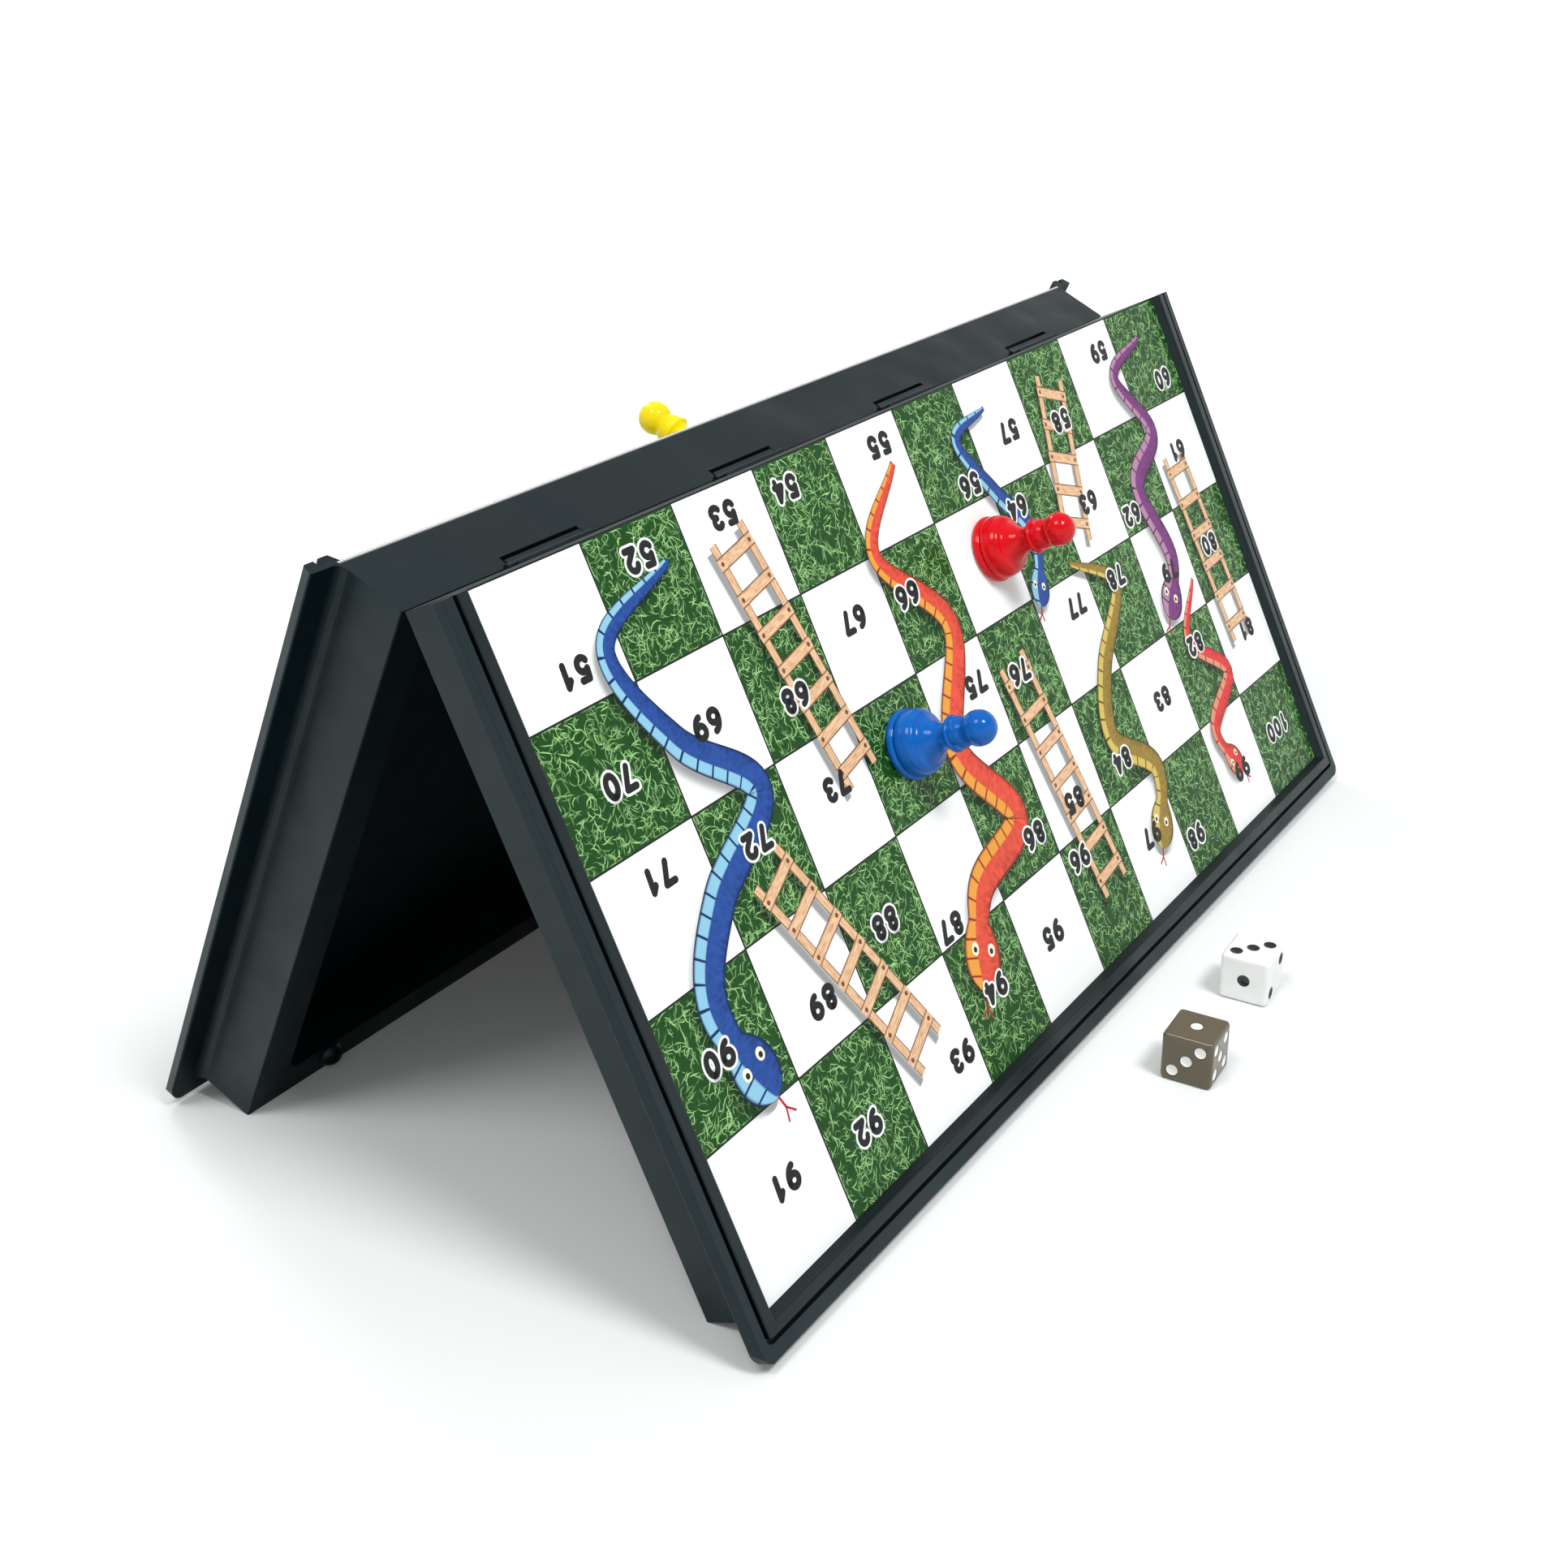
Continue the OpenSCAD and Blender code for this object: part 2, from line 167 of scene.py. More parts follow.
steel = rolled_steel()
for half in ("front", "back"):
    finish_node(half + "_steel_sheet", steel)

# Printed sheets: white coated paper on the steel, with a clear satin laminate over the ink.
# The laminate takes a soft even gloss and hides the paper's grain.
PAPER_WHITE = (0.86, 0.875, 0.87, 1)
PAPER_SHADE = (0.82, 0.84, 0.835, 1)
PAPER_CLOUDS = 60
PAPER_BAND = (0.2, 0.8)
PAPER_ROUGH = (0.3, 0.38)
LAMINATE_ROUGH = 0.34
LAMINATE_GLOSS = 0.16


def laminate(shader):
    """The clear film over all print: one satin gloss."""
    shader.inputs["Roughness"].default_value = LAMINATE_ROUGH
    shader.inputs["Specular IOR Level"].default_value = LAMINATE_GLOSS


def laminated_paper():
    """White paper under laminate: a very faint cloud in the white and a slow drift of the gloss."""
    material, shader, add, plug = start_material("laminated_paper")
    cloud = cloudy(add, PAPER_CLOUDS, Detail=4)
    plug(shader.inputs["Base Color"], mixed(add, cloud, PAPER_SHADE, PAPER_WHITE))
    laminate(shader)
    plug(shader.inputs["Roughness"], spread(add, cloud, PAPER_BAND, PAPER_ROUGH))
    return material


paper = laminated_paper()
for half in ("front", "back"):
    finish_node(half + "_print_sheet", paper)

# Printed squares: every other square of the field is grass green, let in to the white paper.
# The outer squares bleed off under the clamp frame, and thin black rules part all squares.
MM = 0.001
CELL = 23.0
COLUMNS = 10
ROWS = 5
GRID_START = 0.45
FIELD_HALF = CELL * COLUMNS / 2
PRINT_FACE = 13.6
SHEET_EDGE = 0.2
BLEED = 3.1
GREEN_LIFT = 0.006
RULE_LIFT = 0.014
RULE_WIDTH = 0.3
GRASS_DEEP = (0.0025, 0.026, 0.0022, 1)
GRASS_MID = (0.011, 0.078, 0.009, 1)
INK_BLACK = (0.008, 0.008, 0.009, 1)
INK_GREY = (0.016, 0.016, 0.017, 1)
GRASS_FLECK = 0.0022
BLACK_FLECK = 0.0015
hinge_height = joint["fold_hinge"]["pos_m"][2] / MM


def on_half(half, places):
    """Board places (along the hinge, down from it, out of the rim), in mm, as points in metres.
    Down and out turn with the half's lean; the front half is the back half mirrored in y."""
    side = 1 if half == "back" else -1
    along, down, out = np.moveaxis(np.asarray(places, float), -1, 0)
    y = side * (down * outward_z + out * outward_y)
    z = hinge_height - down * outward_y + out * outward_z
    return np.stack([along, y, z], -1) * MM


def closed_mesh(name, points, faces, material, attributes=(), smooth=False, weld=0):
    """An object at the origin from whole arrays of points and faces, with its faces turned
    outwards; attributes are (name, type, values) for each point, and points nearer to each
    other than weld become one."""
    mesh = bpy.data.meshes.new(name)
    mesh.from_pydata(points, [], faces)
    for key, kind, values in attributes:
        layer = mesh.attributes.new(key, kind, "POINT")
        layer.data.foreach_set("vector" if kind == "FLOAT_VECTOR" else "value", np.ravel(values))
    shape = bmesh.new()
    shape.from_mesh(mesh)
    if weld:
        bmesh.ops.remove_doubles(shape, verts=shape.verts, dist=weld)
    bmesh.ops.recalc_face_normals(shape, faces=shape.faces)
    shape.to_mesh(mesh)
    shape.free()
    mesh.materials.append(material)
    mesh.polygons.foreach_set("use_smooth", np.full(len(mesh.polygons), smooth))
    made = bpy.data.objects.new(name, mesh)
    bpy.context.collection.objects.link(made)
    return made


def ink_slabs(half, boxes, lift):
    """Thin slabs on the print face: boxes are (from, to) corners along and down, n by 4;
    each gives the 8 corners and 6 faces of a film from just under the face up to lift."""
    a0, d0, a1, d1 = np.asarray(boxes, float).T
    flat = np.stack([np.stack(p, -1) for p in ((a0, d0), (a1, d0), (a1, d1), (a0, d1))], 1)
    low = np.concatenate([flat, np.full(flat.shape[:2] + (1,), PRINT_FACE - lift)], -1)
    high = np.concatenate([flat, np.full(flat.shape[:2] + (1,), PRINT_FACE + lift)], -1)
    points = on_half(half, np.concatenate([low, high], 1)).reshape(-1, 3)
    box = np.array([[0, 1, 2, 3], [4, 5, 6, 7], [0, 1, 5, 4], [1, 2, 6, 5], [2, 3, 7, 6], [3, 0, 4, 7]])
    faces = (box[None] + 8 * np.arange(len(a0))[:, None, None]).reshape(-1, 4)
    return points, faces.tolist()


def laminated_ink(name, deep, pale, fleck):
    """Printed colour under the laminate: mottled between two tones by noise of the fleck's size."""
    material, shader, add, plug = start_material(name)
    mottle = cloudy(add, 1 / fleck, Detail=4, Roughness=0.65)
    plug(shader.inputs["Base Color"], mixed(add, mottle, deep, pale))
    laminate(shader)
    return material


def square_box(column, row):
    """A square's corners along and down, with the outer squares run out to the bleed."""
    a0 = column * CELL - FIELD_HALF - (BLEED if column == 0 else 0)
    a1 = (column + 1) * CELL - FIELD_HALF + (BLEED if column == COLUMNS - 1 else 0)
    d0 = GRID_START + row * CELL
    d1 = d0 + CELL + (BLEED if row == ROWS - 1 else 0)
    return a0, d0, a1, d1


def green_squares(half):
    """Columns and rows of the green squares: the halves' patterns run on across the hinge."""
    odd = 1 if half == "front" else 0
    return [(c, r) for r in range(ROWS) for c in range(COLUMNS) if (c + r) % 2 == odd]


grass_ink = laminated_ink("grass_ink", GRASS_DEEP, GRASS_MID, GRASS_FLECK)
black_ink = laminated_ink("black_ink", INK_BLACK, INK_GREY, BLACK_FLECK)
for half in ("front", "back"):
    body = half + "_half"
    points, faces = ink_slabs(half, [square_box(c, r) for c, r in green_squares(half)], GREEN_LIFT)
    squares = closed_mesh(half + "_ink_squares", points, faces, grass_ink)
    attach(squares, body)

    edge = FIELD_HALF + BLEED
    far = GRID_START + ROWS * CELL + BLEED
    rules = []
    for column in range(1, COLUMNS):
        along = column * CELL - FIELD_HALF
        rules.append((along - RULE_WIDTH / 2, SHEET_EDGE, along + RULE_WIDTH / 2, far))
    for row in range(1, ROWS):
        down = GRID_START + row * CELL
        rules.append((-edge, down - RULE_WIDTH / 2, edge, down + RULE_WIDTH / 2))
    rules.append((-edge, SHEET_EDGE, edge, GRID_START))
    points, faces = ink_slabs(half, rules, RULE_LIFT)
    lines = closed_mesh(half + "_ink_rules", points, faces, black_ink)
    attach(lines, body)

# Printed grass: curled pale blades over the green squares, as fine strokes of ink.
# They lie in every direction, as seen from above, and stop at the edge of their square.
BLADES = 640
BLADE_STEPS = 4
BLADE_LONG = (2.0, 4.4)
BLADE_HALF = (0.08, 0.14)
BLADE_CURL = 2.2
BLADE_INSET = 0.3
BLADE_FOOT = 0.0065
BLADE_LIFT = 0.011
BLADE_PLAY = 0.0011
BLADE_TONES = (0.25, 1)
# Shares of a blade's tone at its eight points: a tip, two sections with a light ridge, a tip
POINT_TONES = (0.6, 0.25, 1, 0.25, 0.25, 1, 0.25, 0.6)
BLADE_DULL = (0.006, 0.055, 0.0045, 1)
BLADE_LIGHT = (0.46, 0.82, 0.32, 1)


def blade_faces(count):
    """Faces of all blades, eight points each: a tip, two three-cornered sections and a tip."""
    k = np.arange(3)
    n = (k + 1) % 3
    sides = np.stack([1 + k, 4 + k, 4 + n, 1 + n], -1)
    tips = np.concatenate([np.stack([0 * k, 1 + k, 1 + n], -1), np.stack([0 * k + 7, 4 + n, 4 + k], -1)])
    first = 8 * np.arange(count)[:, None, None]
    return (first + sides).reshape(-1, 4).tolist() + (first + tips).reshape(-1, 3).tolist()


def grass_blades(half, seed):
    """Curled strokes: each blade is an arc whose heading turns steadily along it, carried as a
    low three-cornered ridge that thins to a point at both tips and is lighter along its middle."""
    rng = np.random.default_rng(seed)
    boxes = np.repeat([square_box(c, r) for c, r in green_squares(half)], BLADES, axis=0)
    count = len(boxes)
    t = np.linspace(-0.5, 0.5, BLADE_STEPS)
    middle = boxes[:, :2] + rng.random((count, 2)) * (boxes[:, 2:] - boxes[:, :2])
    long = rng.uniform(*BLADE_LONG, count)
    heading = rng.uniform(0, 2 * np.pi, count)[:, None] + rng.normal(0, BLADE_CURL, count)[:, None] * t
    step = np.stack([np.cos(heading), np.sin(heading)], -1) * (long / BLADE_STEPS)[:, None, None]
    path = middle[:, None] + np.cumsum(step, 1) - step.sum(1, keepdims=True) / 2
    path = np.clip(path, boxes[:, None, :2] + BLADE_INSET, boxes[:, None, 2:] - BLADE_INSET)
    across = np.stack([-np.sin(heading), np.cos(heading)], -1)
    across *= rng.uniform(*BLADE_HALF, count)[:, None, None]
    low = np.full(path.shape[:2] + (1,), PRINT_FACE + BLADE_FOOT)
    top = low + BLADE_LIFT - BLADE_FOOT + rng.uniform(-BLADE_PLAY, BLADE_PLAY, count)[:, None, None]
    left = np.concatenate([path - across, low], -1)
    ridge = np.concatenate([path, top], -1)
    right = np.concatenate([path + across, low], -1)
    tips = np.concatenate([path, low], -1)
    sections = np.stack([left, ridge, right], 2)[:, 1:-1].reshape(count, -1, 3)
    points = np.concatenate([tips[:, :1], sections, tips[:, -1:]], 1)
    tone = rng.uniform(*BLADE_TONES, count)[:, None] * POINT_TONES
    return on_half(half, points).reshape(-1, 3), blade_faces(count), tone


def blade_ink():
    """Pale green ink: each blade's own tone picks between a dull and a light green."""
    material, shader, add, plug = start_material("blade_ink")
    tone = add("Attribute", {}, attribute_name="tone").outputs["Fac"]
    plug(shader.inputs["Base Color"], mixed(add, tone, BLADE_DULL, BLADE_LIGHT))
    laminate(shader)
    return material


blades = blade_ink()
for seed, half in enumerate(("front", "back")):
    points, faces, tone = grass_blades(half, seed)
    grass = closed_mesh(half + "_ink_grass", points, faces, blades, [("tone", "FLOAT", tone)])
    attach(grass, half + "_half")

# Printed ladders: two wooden rails with flat rungs nailed across, drawn from straight above.
# They lean a little to either side and reach over two or three rows of squares.
LADDER_LIFT = 0.021
RAIL_GAP = 9.0
RAIL_HALF = 0.95
RUNG_HALF = 1.25
RUNG_STEP = 7.0
RUNG_OVERHANG = 1.0
RUNG_RISE = 0.002
RAIL_TINTS = (0.1, 0.5)
RUNG_TINT_STEP = 0.37
NAIL_HALF = 0.42
NAIL_LONG = 0.05
NAIL_RISE = 0.004
NAIL_TINT = -1.0
CAP_STEPS = 4
CAP_TIP = 0.04
SHADOW_SHIFT = (-1.5, 1.2)
SHADOW_SPREAD = 1.35
SHADOW_LIFT = 0.0165
SHADOW_INK = 0.42
SHADOW_BAND = (0.35, 1)
SHADOW_BLACK = (0.010, 0.011, 0.013, 1)
WOOD_PALE = (0.80, 0.55, 0.35, 1)
WOOD_DARK = (0.55, 0.30, 0.155, 1)
WOOD_EDGE = (0.16, 0.062, 0.026, 1)
WOOD_GRAIN = 1.6
WOOD_WAVER = 0.4
WOOD_STRETCH = (0.35, 3.0, 40.0)
STREAK_BAND = (0.35, 0.65)
WOOD_RIM = (0.72, 0.9)
FRONT_LADDERS = [((2.45, 0.35), (2.9, 2.45)), ((1.5, 2.6), (2.45, 4.55)), ((5.35, 2.35), (5.65, 4.6)),
                 ((7.6, 0.3), (7.1, 1.75)), ((9.4, 1.5), (9.5, 3.5))]
BACK_LADDERS = [((1.5, 4.5), (2.4, 2.4)), ((3.55, 2.5), (3.4, 0.5)), ((6.3, 4.4), (5.6, 2.6)),
                ((8.5, 3.5), (8.6, 1.4))]


def in_field(cells):
    """Places counted in squares, as places along and down the half in mm."""
    return np.asarray(cells, float) * CELL + [-FIELD_HALF, GRID_START]


def round_ended(path, half_width):
    """Adds a round cap to both ends of a path: stations past each end whose widths follow a
    half circle. Returns the stations, their headings and their half widths."""
    path = np.asarray(path, float)
    heading = np.gradient(path, axis=0)
    heading /= np.linalg.norm(heading, axis=1, keepdims=True)
    widths = np.broadcast_to(np.asarray(half_width, float), (len(path),))
    turn = np.linspace(0, np.pi / 2, CAP_STEPS + 1)[1:]
    reach, narrow = np.sin(turn)[:, None], np.maximum(np.cos(turn), CAP_TIP)
    start = path[0] - heading[0] * widths[0] * reach
    stop = path[-1] + heading[-1] * widths[-1] * reach
    stations = np.concatenate([start[::-1], path, stop])
    headings = np.concatenate([np.repeat(heading[:1], CAP_STEPS, 0), heading,
                               np.repeat(heading[-1:], CAP_STEPS, 0)])
    halves = np.concatenate([(widths[0] * narrow)[::-1], widths, widths[-1] * narrow])
    return stations, headings, halves


def film(stations, headings, halves, lift, tint=0.0):
    """A closed film carried along a path: its left and right edges stand half a width either
    side of the heading, low and high. Each point keeps its run: length along, place across
    from -1 to 1, and tint."""
    across = np.stack([-headings[:, 1], headings[:, 0]], -1) * halves[:, None]
    left, right = stations - across, stations + across
    low, high = np.full((len(left), 1), PRINT_FACE - lift), np.full((len(left), 1), PRINT_FACE + lift)
    corners = [np.concatenate(p, -1) for p in ((left, low), (left, high), (right, high), (right, low))]
    steps = np.linalg.norm(np.diff(stations, axis=0), axis=1)
    length = np.repeat(np.concatenate([[0], np.cumsum(steps)])[:, None], 4, 1)
    side = np.broadcast_to([-1.0, -1.0, 1.0, 1.0], length.shape)
    run = np.stack([length, side, np.full(length.shape, tint)], -1)
    return np.stack(corners, 1).reshape(-1, 3), run.reshape(-1, 3)


def film_faces(stations):
    """Quads of a closed film with four corners at each station: its four sides and two ends."""
    i, k = np.meshgrid(np.arange(stations - 1), np.arange(4), indexing="ij")
    n = (k + 1) % 4
    sides = np.stack([i * 4 + k, (i + 1) * 4 + k, (i + 1) * 4 + n, i * 4 + n], -1).reshape(-1, 4)
    return np.concatenate([sides, [[0, 1, 2, 3]], (stations - 1) * 4 + np.array([[3, 2, 1, 0]])])


def film_object(name, half, films, material):
    """One object from several films, whose stations differ: places and runs are stacked, and
    each film's quads start where the last film's points end."""
    points, runs, faces, start = [], [], [], 0
    for place, run in films:
        points.append(on_half(half, place))
        runs.append(run)
        faces.append(start + film_faces(len(place) // 4))
        start += len(place)
    made = closed_mesh(name, np.concatenate(points), np.concatenate(faces).tolist(), material,
                       [("run", "FLOAT_VECTOR", np.concatenate(runs))])
    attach(made, half + "_half")


def straight(a, b, half_width, lift, tint=0.0, steps=6):
    """A straight film from a to b with square ends."""
    path = np.linspace(a, b, steps)
    way = np.subtract(b, a)
    heading = np.repeat([way / np.linalg.norm(way)], steps, 0)
    return film(path, heading, np.full(steps, half_width), lift, tint)


def ladder_films(foot, top):
    """Two rails side by side, rungs across them at even steps, and a nail at each rung's ends.
    Also the rails' shadows, wider and a little aside."""
    foot, top = in_field(foot), in_field(top)
    long = np.linalg.norm(top - foot)
    up = (top - foot) / long
    across = np.array([-up[1], up[0]]) * RAIL_GAP / 2
    boards, low = [], []
    for aside, tint in zip((-across, across), RAIL_TINTS):
        ends = np.array([foot + aside, top + aside])
        boards.append(straight(*ends, RAIL_HALF, LADDER_LIFT, tint))
        low.append(straight(*(ends + SHADOW_SHIFT), RAIL_HALF * SHADOW_SPREAD, SHADOW_LIFT))
    reach = across * (1 + 2 * RUNG_OVERHANG / RAIL_GAP)
    count = int(long // RUNG_STEP)
    for rung in range(count):
        middle = foot + up * (rung + 0.5) * long / count
        tint = rung * RUNG_TINT_STEP % 1
        boards.append(straight(middle - reach, middle + reach, RUNG_HALF, LADDER_LIFT + RUNG_RISE, tint))
        for aside in (-across, across):
            spot = [middle + aside, middle + aside + up * NAIL_LONG]
            boards.append(film(*round_ended(spot, NAIL_HALF), LADDER_LIFT + NAIL_RISE, NAIL_TINT))
    return boards, low


def film_run(add):
    """The three parts of a film's run: length along, place across and tint."""
    run = add("Attribute", {}, attribute_name="run")
    return add("SeparateXYZ", {0: run.outputs["Vector"]}).outputs


def worked(add, operation, *values):
    """The result of one operation on values or links."""
    return add("Math", dict(enumerate(values)), operation=operation).outputs[0]


def shadow_ink():
    """Printed shadow: thin black ink that fades out towards the edges of its run, so that paper
    and grass show through it."""
    material, shader, add, plug = start_material("shadow_ink")
    rim = worked(add, "ABSOLUTE", film_run(add)[1])
    fade = spread(add, rim, SHADOW_BAND, (SHADOW_INK, 0), interpolation_type="SMOOTHSTEP")
    plug(shader.inputs["Alpha"], fade)
    shader.inputs["Base Color"].default_value = SHADOW_BLACK
    laminate(shader)
    return material


def wood_ink():
    """Painted wood: grain lines follow the run along each board, its edges are drawn dark, and a
    negative tint marks a nail."""
    material, shader, add, plug = start_material("wood_ink")
    along, across, tint = film_run(add)
    stretched = [worked(add, "MULTIPLY", *pair) for pair in zip((along, across, tint), WOOD_STRETCH)]
    grain_at = add("CombineXYZ", dict(enumerate(stretched))).outputs[0]
    grain = add("TexNoise", {"Vector": grain_at, "Scale": WOOD_GRAIN, "Detail": 5, "Distortion": WOOD_WAVER})
    board = mixed(add, spread(add, grain.outputs[0], STREAK_BAND), WOOD_DARK, WOOD_PALE)
    rim = spread(add, worked(add, "ABSOLUTE", across), WOOD_RIM)
    nail = worked(add, "LESS_THAN", tint, NAIL_TINT / 2)
    nailed = mixed(add, nail, mixed(add, rim, board, WOOD_EDGE), WOOD_EDGE)
    plug(shader.inputs["Base Color"], nailed)
    laminate(shader)
    return material


wood = wood_ink()
shadow = shadow_ink()
for half, ladders in (("front", FRONT_LADDERS), ("back", BACK_LADDERS)):
    drawn, shadows = [], []
    for foot, top in ladders:
        boards, low = ladder_films(foot, top)
        drawn += boards
        shadows += low
    film_object(half + "_ink_ladders", half, drawn, wood)
    film_object(half + "_ink_ladder_shadows", half, shadows, shadow)

# Printed snakes: plain banded snakes seen from above, from a thin tail to a blunt head.
# Each has one main colour, a paler belly side with dark bands, small eyes and a red tongue.
SNAKE_LIFT = 0.026
SNAKE_RISE = 0.0004
SNAKE_STEPS = 14
BODY_STEP = 0.9
BODY_TURN = (0.04, 0.62)
BODY_POWER = 0.75
BODY_USUAL = 2.7
TAIL_SHARE = 0.12
THINNEST = 0.06
HEAD_LONG = 9.5
HEAD_STEPS = 22
HEAD_CROWD = 1.6
HEAD_HALF = 3.9
HEAD_FULL = 1.35
HEAD_POWER = 1.5
HEAD_PEAK = 0.705
JAW_SHARE = 0.6
NECK_SHARE = 0.72
NECK_REACH = 5
SNAKE_SHADOW_LIFT = 0.0175
EYE_HALF = 0.75
EYE_LONG = 0.35
EYE_BACK = 5.6
EYE_APART = 1.75
EYE_RISE = 0.003
PUPIL_HALF = 0.38
PUPIL_SPAN = (0.3, 0.36)
PUPIL_RISE = 0.005
TONGUE_HALF = 0.24
TONGUE_ROOT = 0.8
TONGUE_LONG = 1.76
TONGUE_SINK = 0.002
TINE_HALF = 0.192
TINE_LONG = 1.5
TINE_SPREAD = 0.6
SCALES = 1.1
SCALE_STRETCH = 2.2
RIDGE_BAND = (-0.9, -0.15)
RIDGE_SHARE = 0.5
BAND_STEP = 3.4
BAND_WIDE = 0.42
BELLY_BAND = (0.22, 0.3)
SNAKE_RIM = (0.82, 0.96)
DIM_SHARE = 0.5
RIM_SHARE = 0.25
LIT_GAIN = 1.3
LIT_LIFT = 0.012
PLAIN_FLECK = 0.002
EYE_WHITE = (0.85, 0.84, 0.70, 1)
EYE_CREAM = (0.78, 0.74, 0.52, 1)
TONGUE_RED = (0.50, 0.012, 0.02, 1)
TONGUE_DEEP = (0.36, 0.008, 0.014, 1)
SNAKE_COLOURS = {
    "blue": ((0.006, 0.048, 0.24, 1), (0.24, 0.50, 0.66, 1)),
    "orange": ((0.58, 0.055, 0.028, 1), (0.72, 0.31, 0.045, 1)),
    "gold": ((0.24, 0.155, 0.018, 1), (0.60, 0.44, 0.10, 1)),
    "purple": ((0.135, 0.018, 0.145, 1), (0.42, 0.20, 0.33, 1)),
    "red": ((0.56, 0.022, 0.022, 1), (0.66, 0.26, 0.16, 1)),
}
FRONT_SNAKES = [
    ("blue", 3.6, [(1.75, 0.35), (0.85, 0.7), (1.15, 1.5), (1.75, 2.1), (0.95, 2.6), (0.5, 3.2),
                   (0.75, 4.0)]),
    ("orange", 3.8, [(4.75, 0.4), (4.05, 1.0), (4.7, 1.8), (4.15, 2.7), (4.6, 3.5), (3.75, 3.8),
                     (3.35, 4.5)]),
    ("gold", 3.0, [(6.8, 1.9), (7.45, 2.3), (6.75, 2.9), (6.45, 3.5), (7.0, 4.0), (6.6, 4.65)]),
    ("purple", 3.0, [(9.55, 0.3), (8.8, 0.55), (9.15, 1.2), (8.5, 1.6), (8.65, 2.4), (8.2, 2.9)]),
    ("red", 2.4, [(8.9, 2.7), (8.4, 3.2), (8.95, 3.7), (8.3, 4.1), (8.55, 4.65)]),
    ("blue", 2.3, [(6.35, 0.3), (5.75, 0.45), (6.05, 1.0), (6.4, 1.5), (6.1, 2.1)]),
]
BACK_SNAKES = [
    ("red", 2.4, [(0.6, 3.6), (1.2, 3.0), (0.5, 2.4), (1.1, 1.7), (0.6, 1.0)]),
    ("gold", 2.5, [(4.6, 4.5), (5.2, 3.8), (4.5, 3.2), (5.0, 2.3), (4.5, 1.5), (5.1, 0.8)]),
    ("blue", 2.8, [(7.5, 4.5), (7.0, 3.7), (7.7, 3.0), (7.0, 2.2), (7.6, 1.4), (6.9, 0.7)]),
    ("purple", 2.1, [(9.4, 2.7), (9.6, 2.0), (9.2, 1.4), (9.5, 0.6)]),
]


def smooth_path(points, steps):
    """A curve through given points: between two points, the cubic whose slope at each is half
    the way from its neighbour before to its neighbour after."""
    p = np.concatenate([[2 * points[0] - points[1]], points, [2 * points[-1] - points[-2]]])
    t = (np.arange(steps) / steps)[None, :, None]
    a, b, c, d = (p[i:len(p) - 3 + i, None] for i in range(4))
    curve = 0.5 * (2 * b + (c - a) * t + (2 * a - 5 * b + 4 * c - d) * t**2 + (3 * b - a - 3 * c + d) * t**3)
    return np.concatenate([curve.reshape(-1, 2), points[-1:]])


def snake_films(cells, body_half, lift):
    """Body and head as one film: the width swells from the tail by a power of a sine, draws in at
    the neck and ends in an egg-shaped head. Eyes are discs beside the head's middle line, and
    the tongue forks into two tines."""
    path = smooth_path(in_field(cells), SNAKE_STEPS)
    steps = np.linalg.norm(np.diff(path, axis=0), axis=1)
    length = np.concatenate([[0], np.cumsum(steps)])
    neck_at = length[-1] - HEAD_LONG
    crowd = np.linspace(1, 0, HEAD_STEPS) ** HEAD_CROWD
    even = np.concatenate([np.arange(0, neck_at, BODY_STEP), length[-1] - HEAD_LONG * crowd])
    path = np.stack([np.interp(even, length, path[:, k]) for k in (0, 1)], -1)
    heading = np.gradient(path, axis=0)
    heading /= np.linalg.norm(heading, axis=1, keepdims=True)
    share = np.clip(even / length[-1], 0, 1)
    sine = np.sin(np.pi * (BODY_TURN[0] + BODY_TURN[1] * share))
    swell = body_half * np.clip(sine, TAIL_SHARE, 1) ** BODY_POWER
    swell *= 1 - (1 - NECK_SHARE) * np.exp(-((even - neck_at) / NECK_REACH) ** 2)
    scale = body_half / BODY_USUAL
    from_nose = length[-1] - even
    egg = np.clip(from_nose / (HEAD_LONG * scale), 0, 1)
    head = HEAD_HALF * scale * np.sqrt(egg) * (HEAD_FULL - egg**HEAD_POWER) / HEAD_PEAK
    joined = np.maximum(head, swell * (egg > JAW_SHARE))
    halves = np.maximum(np.where(from_nose < HEAD_LONG * scale, joined, swell), THINNEST)
    body = film(path, heading, halves, lift)
    low = film(path + SHADOW_SHIFT, heading, halves * SHADOW_SPREAD, SNAKE_SHADOW_LIFT)
    nose, ahead = path[-1], heading[-1]
    beside = np.array([-ahead[1], ahead[0]])
    fork = nose + ahead * TONGUE_LONG * scale
    tongue = [film(*round_ended([nose - ahead * TONGUE_ROOT, fork], TONGUE_HALF), lift - TONGUE_SINK)]
    eyes, pupils = [], []
    for aside in (-beside, beside):
        middle = nose + (aside * EYE_APART - ahead * EYE_BACK) * scale
        eye = [middle, middle + ahead * EYE_LONG]
        eyes.append(film(*round_ended(eye, EYE_HALF * scale), lift + EYE_RISE))
        pupil = [middle + ahead * at for at in PUPIL_SPAN]
        pupils.append(film(*round_ended(pupil, PUPIL_HALF * scale), lift + PUPIL_RISE))
        tine = [fork, fork + (ahead + aside * TINE_SPREAD) * TINE_LONG * scale]
        tongue.append(film(*round_ended(tine, TINE_HALF), lift - TONGUE_SINK))
    return body, eyes, pupils, tongue, low


def shaded(colour, share):
    """A colour with a share of its light."""
    return tuple(share * v for v in colour[:3]) + (1,)


